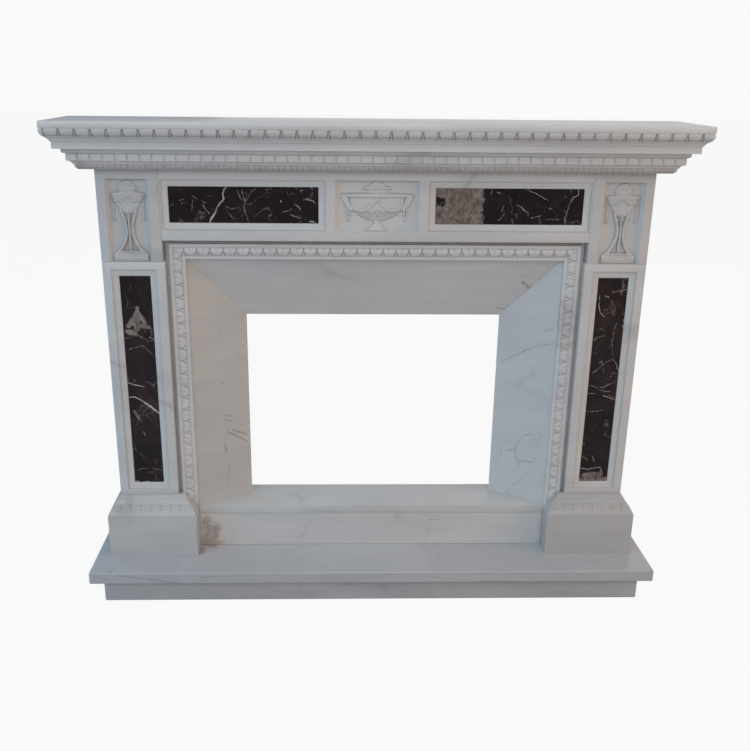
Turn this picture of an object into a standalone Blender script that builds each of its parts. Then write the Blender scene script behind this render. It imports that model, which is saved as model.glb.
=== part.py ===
"""A white marble fireplace mantel: stepped hearth, pilaster legs, inlaid frieze and carved shelf.

Metres, +Z up. The front faces -Y and the wall is at the back. The origin is on the floor, at the middle
of the outline. Pieces that touch keep a joint of JOINT between them.
"""

import math

import bmesh
import bpy
from mathutils import Matrix, Vector

# Joints, and how far a cutter runs past the face it cuts
JOINT = 0.0003
PAST = 0.005

# Fire opening and the splayed slips round it
CLEAR_WIDTH = 0.936
REAR_OPENING_WIDTH = 0.664
REAR_OPENING_HEIGHT = 0.508
SLIP_DEPTH = 0.088
SLIP_THICKNESS = 0.020

# Depth from the legs' face back to the wall
BODY_DEPTH = 0.165

# Hearth
BASE_HEIGHT = 0.066
BASE_SETBACK = 0.030
HEARTH_THICKNESS = 0.0315
HEARTH_EDGE = 0.002
HEARTH_SIDE_TREAD = 0.037
HEARTH_FRONT_TREAD = 0.098
RISER_HEIGHT = 0.0935
RAISED_SLAB_THICKNESS = 0.0245
RISER_SETBACK = 0.026

# Plinths and their carved caps
DIE_HEIGHT = 0.1135
CAP_HEIGHT = 0.051
PLINTH_PROJECTION = 0.032
CAP_LEAF_PITCH = 0.029
CAP_LEAF_DEPTH = 0.004
MOULDING_SEAT_LOW = 0.108
MOULDING_SEAT_HIGH = 0.150

# Legs, corner blocks and frieze
LEG_WIDTH = 0.152
LEG_HEIGHT = 0.620
CORNER_WIDTH = 0.148
CORNER_HEIGHT = 0.221
FRIEZE_HEIGHT = 0.169

# Sunk moulded frames and the dark slabs let into them
FRAME_WIDTH = 0.017
FRAME_STEP = 0.002
FRAME_SINK = 0.0075
INLAY_THICKNESS = 0.009
LEG_STILE = 0.021
LEG_FRAME_FOOT = 0.015
LEG_FRAME_HEAD = 0.019
FRIEZE_RAIL = 0.025
FRIEZE_HEAD = 0.024
FRIEZE_STILE = 0.022
FRIEZE_END = 0.003

# Recesses of the carved tablets
RECESS_DEPTH = 0.011
RECESS_SPLAY = 0.009
TABLET_HALF = 0.102
CORNER_RECESS_WIDTH = 0.102
CORNER_OUTER_STILE = 0.021

# Inner carved moulding
MOULDING_WIDTH = 0.038
MOULDING_SETBACK = 0.012
MOULDING_THICKNESS = 0.021
MOULDING_GROOVE = 0.010
GROOVE_DEPTH = 0.013
MOULDING_LEAF_PITCH = 0.0325
MOULDING_LEAF_DEPTH = 0.004

# Bed moulding with its dentils
BED_HEIGHT = 0.0485
BED_FOOT = 0.026
DENTIL_PROJECTION = 0.050
DENTIL_PITCH = 0.028
DENTIL_GAP = 0.0035
DENTIL_DEPTH = 0.006
DENTIL_WEB = 0.001
CORONA_FOOT = 0.0575

# Shelf with its corona and egg-and-dart edge
SHELF_HEIGHT = 0.0615
CORONA_PROJECTION = 0.0735
SHELF_PROJECTION = 0.094
SHELF_ARRIS = 0.0015
EGG_PITCH = 0.0354
EGG_DEPTH = 0.0055

# Reliefs: an urn on the frieze and a tripod stand on each corner block
RELIEF_BODY = 0.0035
RELIEF_SWELL = 0.06
RELIEF_ROOT = 0.003
URN_SIDES = 20
TRIPOD_SIDES = 16

# Places that follow from the sizes
HALF_CLEAR = CLEAR_WIDTH / 2
LEG_INNER = HALF_CLEAR + MOULDING_WIDTH + MOULDING_GROOVE
LEG_OUTER = LEG_INNER + LEG_WIDTH
CORNER_INNER = LEG_OUTER - CORNER_WIDTH
PLINTH_OUTER = LEG_OUTER + PLINTH_PROJECTION
HEARTH_HALF = PLINTH_OUTER + HEARTH_SIDE_TREAD
HEARTH_REACH = PLINTH_PROJECTION + HEARTH_FRONT_TREAD

WALL = (BODY_DEPTH + HEARTH_REACH) / 2
FACE = WALL - BODY_DEPTH
MOULDING_FRONT = FACE + MOULDING_SETBACK
SLIP_FRONT = MOULDING_FRONT + MOULDING_THICKNESS
SLIP_REAR = SLIP_FRONT + SLIP_DEPTH

HEARTH_TOP = BASE_HEIGHT + HEARTH_THICKNESS
RISER_TOP = HEARTH_TOP + RISER_HEIGHT
RAISED_TOP = RISER_TOP + RAISED_SLAB_THICKNESS
DIE_TOP = HEARTH_TOP + DIE_HEIGHT
PLINTH_TOP = DIE_TOP + CAP_HEIGHT
LEG_TOP = PLINTH_TOP + LEG_HEIGHT
FRIEZE_TOP = LEG_TOP + CORNER_HEIGHT
FRIEZE_FOOT = FRIEZE_TOP - FRIEZE_HEIGHT
BED_TOP = FRIEZE_TOP + BED_HEIGHT
SHELF_TOP = BED_TOP + SHELF_HEIGHT
MOULDING_TOP = FRIEZE_FOOT - MOULDING_GROOVE
CLEAR_TOP = MOULDING_TOP - MOULDING_WIDTH
REAR_TOP = RAISED_TOP + REAR_OPENING_HEIGHT

WHITE_MARBLE = (0.62, 0.61, 0.60, 1.0)
GREY_MARBLE = (0.50, 0.50, 0.52, 1.0)
DARK_MARBLE = (0.035, 0.025, 0.028, 1.0)


# Scene, materials and naming

def clear_scene():
    for thing in list(bpy.data.objects):
        bpy.data.objects.remove(thing)


def new_collection(name):
    collection = bpy.data.collections.new(name)
    bpy.context.scene.collection.children.link(collection)
    return collection


def marble(name, colour, roughness):
    material = bpy.data.materials.new(name)
    material.use_nodes = True
    shader = material.node_tree.nodes["Principled BSDF"]
    shader.inputs["Base Color"].default_value = colour
    shader.inputs["Roughness"].default_value = roughness
    shader.inputs["Metallic"].default_value = 0.0
    return material


def piece(name, bm, at, colour=WHITE_MARBLE, roughness=0.35):
    """One named stone, with its own origin at the point given and its own material."""
    bmesh.ops.recalc_face_normals(bm, faces=bm.faces)
    bmesh.ops.translate(bm, verts=bm.verts, vec=-Vector(at))
    mesh = bpy.data.meshes.new(name)
    bm.to_mesh(mesh)
    bm.free()
    mesh.materials.append(marble(name, colour, roughness))
    stone = bpy.data.objects.new(name, mesh)
    stone.location = at
    stone.parent = mantel
    stones.objects.link(stone)
    return stone


def cutter(name, bm, collection):
    """A closed shape that is cut from a stone or joined to it, and isn't a stone itself."""
    bmesh.ops.recalc_face_normals(bm, faces=bm.faces)
    mesh = bpy.data.meshes.new(name)
    bm.to_mesh(mesh)
    bm.free()
    shape = bpy.data.objects.new(name, mesh)
    shape.hide_render = True
    shape.display_type = "WIRE"
    collection.objects.link(shape)
    return shape


def tool_group(name):
    group = bpy.data.collections.new(name)
    cutters.children.link(group)
    return group


def combine(stone, group, operation):
    """Cut every shape of a group from a stone, or join them all to it."""
    change = stone.modifiers.new(operation.lower(), "BOOLEAN")
    change.operation = operation
    change.operand_type = "COLLECTION"
    change.collection = group
    change.solver = "EXACT"


def settle(stone):
    """Keep the stone's shape as its modifiers leave it."""
    bpy.context.view_layer.update()
    shown = stone.evaluated_get(bpy.context.evaluated_depsgraph_get())
    mesh = bpy.data.meshes.new_from_object(shown)
    stone.modifiers.clear()
    stone.data = mesh
    mesh.name = stone.name


def opposite(stone, name):
    """The same stone, handed, on the other side of the middle plane."""
    mesh = stone.data.copy()
    mesh.name = name
    mesh.transform(Matrix.Scale(-1, 4, (1, 0, 0)))
    mesh.flip_normals()
    mesh.materials.clear()
    source = stone.data.materials[0].node_tree.nodes["Principled BSDF"].inputs
    mesh.materials.append(marble(name, source["Base Color"].default_value, source["Roughness"].default_value))
    other = bpy.data.objects.new(name, mesh)
    other.location = (-stone.location.x, stone.location.y, stone.location.z)
    other.parent = mantel
    stones.objects.link(other)
    return other


# Shapes

def set_rectangle(verts, old, new):
    """Move four corners from one rectangle (x0, x1, y0, y1, z) to another."""
    middle_x = (old[0] + old[1]) / 2
    middle_y = (old[2] + old[3]) / 2
    for v in verts:
        v.co = (
            new[0] if v.co.x < middle_x else new[1],
            new[2] if v.co.y < middle_y else new[3],
            new[4],
        )


def stack(levels):
    """A closed block through a stack of rectangles, the lowest first."""
    bm = bmesh.new()
    bmesh.ops.create_cube(bm, size=1.0)
    unit = (-0.5, 0.5, -0.5, 0.5, 0.0)
    foot = [v for v in bm.verts if v.co.z < 0]
    head = [v for v in bm.verts if v.co.z > 0]
    top = next(f for f in bm.faces if f.normal.z > 0.5)
    set_rectangle(foot, unit, levels[0])
    set_rectangle(head, unit, levels[1])
    last = levels[1]
    for level in levels[2:]:
        top = bmesh.ops.extrude_discrete_faces(bm, faces=[top])["faces"][0]
        set_rectangle(top.verts, last, level)
        last = level
    bm.normal_update()
    return bm


def block(x0, x1, y0, y1, z0, z1):
    return stack([(x0, x1, y0, y1, z0), (x0, x1, y0, y1, z1)])


def moulded_block(x0, x1, front, back, profile, left=1, right=1):
    """A block whose front and ends follow a profile of (projection, height), mitred at the corners."""
    levels = []
    for out, z in profile:
        levels.append((x0 - out * left, x1 + out * right, front - out, back, z))
    return stack(levels)


def bar(outline, start, end, place):
    """A bar of an outline of (a, b) points between two end surfaces, set in the room by place(a, b, s)."""
    bm = bmesh.new()
    face = bm.faces.new([bm.verts.new((a, b, 0.0)) for a, b in outline])
    grown = bmesh.ops.extrude_face_region(bm, geom=[face], use_keep_orig=True)["geom"]
    far = {v for v in grown if isinstance(v, bmesh.types.BMVert)}
    for v in bm.verts:
        a, b = v.co.x, v.co.y
        v.co = place(a, b, end(a, b) if v in far else start(a, b))
    bmesh.ops.recalc_face_normals(bm, faces=bm.faces)
    return bm


def sunk_cutter(name, group, x0, x1, z0, z1, steps):
    """A cutter for a recess in the front face: steps are (inset across, inset up, depth), outermost first."""
    levels = []
    for across, up, depth in reversed(steps):
        levels.append((x0 + across, x1 - across, z0 + up, z1 - up, -depth))
    bm = stack(levels)
    bmesh.ops.rotate(bm, verts=bm.verts, matrix=Matrix.Rotation(math.pi / 2, 3, "X"))
    bmesh.ops.translate(bm, verts=bm.verts, vec=(0, FACE, 0))
    return cutter(name, bm, group)


def turned(profile, sides, flute=None):
    """A turned form of (radius, height) points, flattened into relief; flute is (low, high, share)."""
    bm = bmesh.new()
    verts = [bm.verts.new((r, 0, z)) for r, z in profile]
    edges = [bm.edges.new(pair) for pair in zip(verts, verts[1:])]
    bmesh.ops.spin(bm, geom=verts + edges, cent=(0, 0, 0), axis=(0, 0, 1), angle=2 * math.pi,
                   steps=sides, use_merge=True)
    bmesh.ops.remove_doubles(bm, verts=bm.verts, dist=0.00001)
    for v in bm.verts:
        radius = math.hypot(v.co.x, v.co.y)
        if radius < 0.0001:
            continue
        turn = round(math.atan2(v.co.y, v.co.x) / (2 * math.pi) * sides)
        v.co.y *= min(1.0, relief_depth(radius) / radius)
        if flute and flute[0] < v.co.z < flute[1] and turn % 2:
            v.co.y *= flute[2]
    return bm


def fit_relief(group, middle, drawn, recess):
    """Stretch a relief from the half width, depth and height that it is drawn at to those of its recess."""
    stretch = Matrix.Diagonal((*(real / plan for real, plan in zip(recess, drawn)), 1.0))
    for shape in group.objects:
        shape.data.transform(Matrix.Translation(middle) @ stretch @ Matrix.Translation(-middle))


def relief_depth(radius):
    return RELIEF_BODY + RELIEF_SWELL * radius


def rod(name, group, points, thick, middle):
    """A round bar through (x, y, z) points, as a mesh, moved by middle."""
    curve = bpy.data.curves.new(name, "CURVE")
    curve.dimensions = "3D"
    curve.bevel_depth = thick / 2
    curve.bevel_resolution = 1
    curve.use_fill_caps = True
    spline = curve.splines.new("POLY")
    spline.points.add(len(points) - 1)
    for knot, p in zip(spline.points, points):
        knot.co = (*(Vector(p) + middle), 1.0)
    line = bpy.data.objects.new(name, curve)
    cutters.objects.link(line)
    bpy.context.view_layer.update()
    shown = line.evaluated_get(bpy.context.evaluated_depsgraph_get())
    mesh = bpy.data.meshes.new_from_object(shown)
    bpy.data.objects.remove(line)
    bm = bmesh.new()
    bm.from_mesh(mesh)
    bpy.data.meshes.remove(mesh)
    bmesh.ops.remove_doubles(bm, verts=bm.verts, dist=0.00001)
    return cutter(name, bm, group)


# Carving: a band's long edges are cut and the new points are spaced and sunk by a repeated pattern

def on_line(bm, ends):
    """The points of a mesh that lie on a straight line, in order along it."""
    start, end = ends
    way = end - start
    found = []
    for v in bm.verts:
        share = (v.co - start).dot(way) / way.length_squared
        if -1e-6 < share < 1 + 1e-6 and (start + way * share - v.co).length < 1e-6:
            found.append((share, v))
    return [v for share, v in sorted(found, key=lambda pair: pair[0])]


def cut_band(bm, lines, cuts):
    """Cut the edges along the given lines evenly, and return each line's points in order."""
    edges = []
    for line in lines:
        a, b = on_line(bm, line)
        edges.append(next(e for e in a.link_edges if e.other_vert(a) is b))
    bmesh.ops.subdivide_edges(bm, edges=edges, cuts=cuts)
    return [on_line(bm, line) for line in lines]


def carve(rows, axis, span, pattern, repeats, outward, depth):
    """Space the points of a band by a repeated pattern of (share of pitch, depth of each row)."""
    low, high = span
    pitch = (high - low) / repeats
    for row, points in enumerate(rows):
        for count, point in enumerate(points[1:-1], 1):
            cell, column = divmod(count, len(pattern))
            share, sinks = pattern[column]
            point.co[axis] = low + (cell + share) * pitch
            point.co -= outward * depth * sinks[row]


def band_sides(x0, x1, front, back, profile, left=True, right=True):
    """The lines of a moulded block's carved band on its front and ends, as (axis, outward, lines, span)."""
    runs = []
    tightest = min(out for out, z in profile)
    lines = [(Vector((x0 - out, front - out, z)), Vector((x1 + out, front - out, z))) for out, z in profile]
    runs.append((0, Vector((0, -1, 0)), lines, (x0 - tightest, x1 + tightest)))
    for wanted, x, side in ((left, x0, -1), (right, x1, 1)):
        if wanted:
            lines = [(Vector((x + side * out, front - out, z)), Vector((x + side * out, back, z)))
                     for out, z in profile]
            runs.append((1, Vector((side, 0, 0)), lines, (front - tightest, back)))
    return runs


def carve_round(bm, runs, pattern, pitch, depth):
    """Carve a repeated pattern along each run of a band."""
    for axis, outward, lines, span in runs:
        repeats = max(1, round((span[1] - span[0]) / pitch))
        rows = cut_band(bm, lines, repeats * len(pattern) - 1)
        carve(rows, axis, span, pattern, repeats, outward, depth)


# The hearth

def make_hearth():
    base_half = HEARTH_HALF - BASE_SETBACK
    front = FACE - HEARTH_REACH
    base = block(-base_half, base_half, front + BASE_SETBACK, WALL, 0.0, BASE_HEIGHT - JOINT)
    piece("hearth_base", base, (0, 0, 0), GREY_MARBLE)
    slab = block(-HEARTH_HALF, HEARTH_HALF, front, WALL, BASE_HEIGHT, HEARTH_TOP - JOINT)
    eased = [e for e in slab.edges if min(v.co.y for v in e.verts) < WALL - JOINT]
    bmesh.ops.bevel(slab, geom=eased, offset=HEARTH_EDGE, segments=1, profile=0.5, affect="EDGES",
                    material=-1)
    piece("hearth_slab", slab, (0, 0, BASE_HEIGHT), GREY_MARBLE)
    half = HALF_CLEAR - JOINT
    inner_front = FACE + RISER_SETBACK
    riser = block(-half, half, inner_front, WALL, HEARTH_TOP, RISER_TOP - JOINT)
    piece("hearth_riser", riser, (0, inner_front, HEARTH_TOP))
    raised = block(-half, half, inner_front, WALL, RISER_TOP, RAISED_TOP - JOINT)
    piece("raised_hearth", raised, (0, inner_front, RISER_TOP))


# The plinths: a plain die, a carved ovolo, a fillet and a hollow that runs up to the leg

CAP_LEAF = (
    (0.00, (0, 1.0, 0)),
    (0.22, (0, 0.1, 0)),
    (0.78, (0, 0.1, 0)),
)


def cap_profile():
    """Projection from the leg, as a share of the whole, and height, as a share of the cap's."""
    shape = ((1.0, 0.04), (0.94, 0.10), (0.80, 0.25), (0.58, 0.41), (0.53, 0.43), (0.56, 0.46),
             (0.56, 0.64), (0.50, 0.74), (0.34, 0.85), (0.16, 0.93), (0.03, 1.0))
    return [(out * PLINTH_PROJECTION, DIE_TOP + up * CAP_HEIGHT) for out, up in shape]


def make_plinths():
    inner = HALF_CLEAR + PLINTH_PROJECTION
    cap = cap_profile()
    cap[-1] = (cap[-1][0], PLINTH_TOP - JOINT)
    profile = [(PLINTH_PROJECTION, HEARTH_TOP)] + cap
    bm = moulded_block(inner, LEG_OUTER, FACE, WALL, profile)
    band = cap[1:4]
    carve_round(bm, band_sides(inner, LEG_OUTER, FACE, WALL, band, left=False),
                CAP_LEAF, CAP_LEAF_PITCH, CAP_LEAF_DEPTH)
    plinth = piece("plinth_right", bm, (LEG_OUTER, FACE, HEARTH_TOP))

    group = tool_group("plinth seats")
    past_inner = HALF_CLEAR - PAST
    slope = (MOULDING_SEAT_HIGH - MOULDING_SEAT_LOW) / (LEG_INNER - HALF_CLEAR)
    outline = [
        (past_inner, HEARTH_TOP + MOULDING_SEAT_LOW - slope * PAST),
        (LEG_INNER - JOINT, HEARTH_TOP + MOULDING_SEAT_HIGH),
        (LEG_INNER - JOINT, PLINTH_TOP + PAST),
        (past_inner, PLINTH_TOP + PAST),
    ]
    seat = bar(outline, lambda a, b: MOULDING_FRONT - JOINT, lambda a, b: SLIP_FRONT,
               lambda a, b, s: Vector((a, s, b)))
    cutter("moulding seat", seat, group)
    slip = splayed_outline(HALF_CLEAR, REAR_OPENING_WIDTH / 2, SLIP_THICKNESS + JOINT)
    outline = [(past_inner, SLIP_FRONT - JOINT), (slip[1][0], SLIP_FRONT - JOINT), slip[1], slip[2]]
    seat = bar(outline, lambda a, b: RAISED_TOP - JOINT, lambda a, b: PLINTH_TOP + PAST,
               lambda a, b, s: Vector((a, b, s)))
    cutter("slip seat", seat, group)
    combine(plinth, group, "DIFFERENCE")
    settle(plinth)
    opposite(plinth, "plinth_left")


# Sunk frames: a step, a bead and a slope down to the dark slab

def frame_steps():
    """The frame's insets and depths from the face, down to the pocket that takes the slab."""
    pocket = FRAME_SINK + INLAY_THICKNESS + JOINT
    shape = (
        (0.0, -PAST),
        (0.0, FRAME_STEP),
        (FRAME_WIDTH * 0.22, FRAME_STEP),
        (FRAME_WIDTH * 0.34, FRAME_STEP * 1.9),
        (FRAME_WIDTH, FRAME_SINK - FRAME_STEP / 2),
        (FRAME_WIDTH, pocket),
    )
    return [(inset, inset, depth) for inset, depth in shape]


def inlay(name, x0, x1, z0, z1):
    edge = FRAME_WIDTH + JOINT
    y = FACE + FRAME_SINK
    bm = block(x0 + edge, x1 - edge, y, y + INLAY_THICKNESS, z0 + edge, z1 - edge)
    return piece(name, bm, ((x0 + x1) / 2, y, (z0 + z1) / 2), DARK_MARBLE, 0.2)


def make_legs():
    foot = PLINTH_TOP + LEG_FRAME_FOOT
    head = LEG_TOP - LEG_FRAME_HEAD
    frame = (LEG_INNER + LEG_STILE, LEG_OUTER - LEG_STILE, foot, head)
    bm = block(LEG_INNER, LEG_OUTER, FACE, WALL, PLINTH_TOP, LEG_TOP - JOINT)
    leg = piece("leg_right", bm, ((LEG_INNER + LEG_OUTER) / 2, FACE, PLINTH_TOP))
    group = tool_group("leg frames")
    sunk_cutter("leg frame", group, *frame, frame_steps())
    combine(leg, group, "DIFFERENCE")
    settle(leg)
    opposite(leg, "leg_left")
    opposite(inlay("leg_inlay_right", *frame), "leg_inlay_left")


# Corner blocks: a recess open at the foot, with a tripod stand in relief

TRIPOD_BOWL = (
    (0.000, 0.114), (0.008, 0.115), (0.016, 0.120), (0.030, 0.138), (0.036, 0.150), (0.037, 0.157),
    (0.041, 0.159), (0.041, 0.163), (0.015, 0.165), (0.012, 0.169), (0.021, 0.171), (0.021, 0.174),
    (0.017, 0.183), (0.008, 0.188), (0.003, 0.190), (0.000, 0.193),
)
TRIPOD_LEG = (
    (0.018, 0.124), (0.013, 0.108), (0.009, 0.092), (0.0075, 0.078), (0.010, 0.062), (0.017, 0.046),
    (0.026, 0.033), (0.034, 0.022),
)
TRIPOD_BASE = (
    (-0.049, 0.0005), (0.049, 0.0005), (0.046, 0.008), (0.037, 0.018), (0.033, 0.025),
    (-0.033, 0.025), (-0.037, 0.018), (-0.046, 0.008),
)
TRIPOD_SWAG = ((-0.035, 0.142), (-0.022, 0.148), (-0.011, 0.153), (0.0, 0.146), (0.011, 0.153),
               (0.022, 0.148), (0.035, 0.142))
TRIPOD_DRAWN = (0.051, 0.011, 0.197)
TRIPOD_BASE_DEPTH = 0.006
TRIPOD_LEG_THICKNESS = 0.007
TRIPOD_BELLY = 0.034
TRIPOD_SWAG_THICKNESS = 0.004
TRIPOD_RIBBON_OUT = 0.040
TRIPOD_RIBBON_TOP = 0.160
TRIPOD_RIBBON_DROP = 0.058
RIBBON_FOOT = 0.004
RIBBON_HEAD = 0.0018


def tassel(name, group, x, top, drop, middle):
    """A hanging ribbon end that widens towards its foot."""
    place = Matrix.Translation(middle + Vector((x, -RIBBON_FOOT / 4, top - drop / 2)))
    bm = bmesh.new()
    bmesh.ops.create_cone(bm, cap_ends=True, segments=6, radius1=RIBBON_FOOT, radius2=RIBBON_HEAD,
                          depth=drop, matrix=place)
    return cutter(name, bm, group)


def tripod(group, middle):
    bm = turned(TRIPOD_BOWL, TRIPOD_SIDES)
    bmesh.ops.translate(bm, verts=bm.verts, vec=middle)
    cutter("tripod bowl", bm, group)
    legs = [[(side * x, -0.0015, z) for x, z in TRIPOD_LEG] for side in (-1, 1)]
    legs.append([(0, -0.003, TRIPOD_LEG[0][1]), (0, -0.003, TRIPOD_LEG[-1][1])])
    for points in legs:
        rod("tripod leg", group, points, TRIPOD_LEG_THICKNESS, middle)
    base = bar(TRIPOD_BASE, lambda a, b: -TRIPOD_BASE_DEPTH, lambda a, b: RELIEF_ROOT,
               lambda a, b, s: Vector((a, s, b)) + middle)
    cutter("tripod base", base, group)
    swag = [(x, -relief_depth(TRIPOD_BELLY) * math.cos(x / TRIPOD_BELLY * 1.2), z) for x, z in TRIPOD_SWAG]
    rod("tripod swag", group, swag, TRIPOD_SWAG_THICKNESS, middle)
    for side in (-1, 1):
        tassel("tripod ribbon", group, side * TRIPOD_RIBBON_OUT, TRIPOD_RIBBON_TOP, TRIPOD_RIBBON_DROP,
               middle)


def make_corner_blocks():
    bm = block(CORNER_INNER, LEG_OUTER, FACE, WALL, LEG_TOP, FRIEZE_TOP - JOINT)
    stone = piece("corner_block_right", bm, ((CORNER_INNER + LEG_OUTER) / 2, FACE, LEG_TOP))
    outer = LEG_OUTER - CORNER_OUTER_STILE
    group = tool_group("corner recesses")
    head = FRIEZE_TOP - FRIEZE_HEAD
    steps = ((0, 0, -PAST), (0, 0, 0), (RECESS_SPLAY, 0, RECESS_DEPTH))
    sunk_cutter("corner recess", group, outer - CORNER_RECESS_WIDTH, outer, LEG_TOP - PAST, head, steps)
    combine(stone, group, "DIFFERENCE")
    settle(stone)
    group = tool_group("tripods")
    middle = Vector((outer - CORNER_RECESS_WIDTH / 2, FACE + RECESS_DEPTH, LEG_TOP))
    tripod(group, middle)
    fit_relief(group, middle, TRIPOD_DRAWN, (CORNER_RECESS_WIDTH / 2, RECESS_DEPTH, head - LEG_TOP))
    combine(stone, group, "UNION")
    settle(stone)
    opposite(stone, "corner_block_left")


# The frieze: two sunk frames and a tablet with a lidded urn in relief

URN_BODY = (
    (0.000, 0.0005), (0.027, 0.0005), (0.027, 0.004), (0.014, 0.010), (0.007, 0.016), (0.006, 0.020),
    (0.010, 0.022), (0.018, 0.025), (0.038, 0.033), (0.054, 0.042), (0.063, 0.051), (0.060, 0.058),
    (0.064, 0.074), (0.067, 0.081), (0.077, 0.083), (0.077, 0.090), (0.036, 0.092), (0.034, 0.097),
    (0.028, 0.103), (0.010, 0.107), (0.006, 0.110), (0.009, 0.114), (0.000, 0.118),
)
URN_FLUTES = (0.021, 0.045, 0.6)
URN_HANDLE = ((0.072, 0.087), (0.084, 0.090), (0.090, 0.084), (0.086, 0.072), (0.077, 0.060), (0.062, 0.051))
URN_DRAWN = (0.102, 0.011, 0.120)
URN_BELLY = 0.066
URN_HANDLE_THICKNESS = 0.0055
URN_RIBBON_OUT = 0.074
URN_RIBBON_TOP = 0.066
URN_RIBBON_DROP = 0.044
URN_SWAG_THICKNESS = 0.0045
URN_SWAG_HALF = 0.060
URN_SWAG_TOP = 0.080
URN_KNOT_DROP = 0.006
URN_SWAG_DROP = 0.030
URN_SWAG_STEPS = 8


def urn(group, middle):
    bm = turned(URN_BODY, URN_SIDES, URN_FLUTES)
    bmesh.ops.translate(bm, verts=bm.verts, vec=middle)
    cutter("urn body", bm, group)
    for side in (-1, 1):
        handle = [(side * x, -URN_HANDLE_THICKNESS / 5, z) for x, z in URN_HANDLE]
        rod("urn handle", group, handle, URN_HANDLE_THICKNESS, middle)
        tassel("urn ribbon", group, side * URN_RIBBON_OUT, URN_RIBBON_TOP, URN_RIBBON_DROP, middle)
        swag = []
        for step in range(URN_SWAG_STEPS + 1):
            share = step / URN_SWAG_STEPS
            x = URN_SWAG_HALF * (1 - share)
            sag = math.sin(math.pi * share) * URN_SWAG_DROP
            depth = relief_depth(URN_BELLY) * math.sqrt(1 - (x / URN_BELLY) ** 2)
            swag.append((side * x, -depth, URN_SWAG_TOP - URN_KNOT_DROP * share - sag))
        rod("urn swag", group, swag, URN_SWAG_THICKNESS, middle)


def make_frieze():
    half = CORNER_INNER - JOINT
    bm = block(-half, half, FACE, WALL, FRIEZE_FOOT, FRIEZE_TOP - JOINT)
    stone = piece("frieze", bm, (0, FACE, FRIEZE_FOOT))
    foot = FRIEZE_FOOT + FRIEZE_RAIL
    head = FRIEZE_TOP - FRIEZE_HEAD
    frame = (TABLET_HALF + FRIEZE_STILE, half - FRIEZE_END, foot, head)
    group = tool_group("frieze recesses")
    sunk_cutter("frieze frame right", group, *frame, frame_steps())
    sunk_cutter("frieze frame left", group, -frame[1], -frame[0], foot, head, frame_steps())
    steps = ((0, 0, -PAST), (0, 0, 0), (RECESS_SPLAY, 0, RECESS_DEPTH))
    sunk_cutter("tablet recess", group, -TABLET_HALF, TABLET_HALF, foot, head, steps)
    combine(stone, group, "DIFFERENCE")
    settle(stone)
    group = tool_group("urn")
    middle = Vector((0, FACE + RECESS_DEPTH, foot))
    urn(group, middle)
    fit_relief(group, middle, URN_DRAWN, (TABLET_HALF, RECESS_DEPTH, head - foot))
    combine(stone, group, "UNION")
    settle(stone)
    opposite(inlay("frieze_inlay_right", *frame), "frieze_inlay_left")


# The inner moulding: a fillet on each side of a leaf-carved band, and a thin tongue that closes the groove

MOULDING_LEAF = (
    (0.00, (0, 0.9, 1.0, 0)),
    (0.25, (0, 0.5, 0.0, 0)),
    (0.75, (0, 0.5, 0.0, 0)),
)


def moulding_outline():
    """Points (distance out from the inner edge, depth), and the four points of the carved band."""
    front = MOULDING_FRONT
    band = [
        (MOULDING_WIDTH * 0.25, front + 0.007),
        (MOULDING_WIDTH * 0.36, front + 0.003),
        (MOULDING_WIDTH * 0.60, front + 0.0005),
        (MOULDING_WIDTH * 0.76, front + 0.002),
    ]
    back = front + MOULDING_THICKNESS - JOINT
    reach = MOULDING_WIDTH + MOULDING_GROOVE - JOINT
    outline = [(0.0, back), (0.0, front + 0.006), (MOULDING_WIDTH * 0.23, front + 0.005)]
    outline += band
    outline += [
        (MOULDING_WIDTH * 0.78, front),
        (MOULDING_WIDTH, front),
        (MOULDING_WIDTH, front + GROOVE_DEPTH),
        (reach, front + GROOVE_DEPTH),
        (reach, back),
    ]
    return outline, band


def make_inner_moulding():
    outline, band = moulding_outline()
    seat = HEARTH_TOP + MOULDING_SEAT_LOW + JOINT
    slope = (MOULDING_SEAT_HIGH - MOULDING_SEAT_LOW) / (LEG_INNER - HALF_CLEAR)
    outward = Vector((0, -1, 0))

    def side_place(a, b, s):
        return Vector((HALF_CLEAR + a, b, s))

    def side_foot(a, b):
        return seat + slope * a

    def side_head(a, b):
        return CLEAR_TOP + a - JOINT

    bm = bar(outline, side_foot, side_head, side_place)
    lines = [(side_place(a, b, side_foot(a, b)), side_place(a, b, side_head(a, b))) for a, b in band]
    carve_round(bm, [(2, outward, lines, (side_foot(*band[-1]), CLEAR_TOP))],
                MOULDING_LEAF, MOULDING_LEAF_PITCH, MOULDING_LEAF_DEPTH)
    side = piece("inner_moulding_right", bm, (HALF_CLEAR, MOULDING_FRONT, seat))
    opposite(side, "inner_moulding_left")

    def top_place(a, b, s):
        return Vector((s, b, CLEAR_TOP + a))

    def top_end(a, b):
        return HALF_CLEAR + a

    bm = bar(outline, lambda a, b: -top_end(a, b), top_end, top_place)
    lines = [(top_place(a, b, -top_end(a, b)), top_place(a, b, top_end(a, b))) for a, b in band]
    carve_round(bm, [(0, outward, lines, (-HALF_CLEAR, HALF_CLEAR))],
                MOULDING_LEAF, MOULDING_LEAF_PITCH, MOULDING_LEAF_DEPTH)
    piece("inner_moulding_top", bm, (0, MOULDING_FRONT, CLEAR_TOP))


# The slips: plain splayed slabs, mitred at the top corners

def splayed_outline(front_edge, rear_edge, thickness=SLIP_THICKNESS):
    """The section of a slip, as (distance from the middle, depth), cut flat at the front and the back."""
    run = front_edge - rear_edge
    width = thickness * math.hypot(run, SLIP_DEPTH) / SLIP_DEPTH
    return [(front_edge, SLIP_FRONT), (front_edge + width, SLIP_FRONT), (rear_edge + width, SLIP_REAR),
            (rear_edge, SLIP_REAR)]


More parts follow.
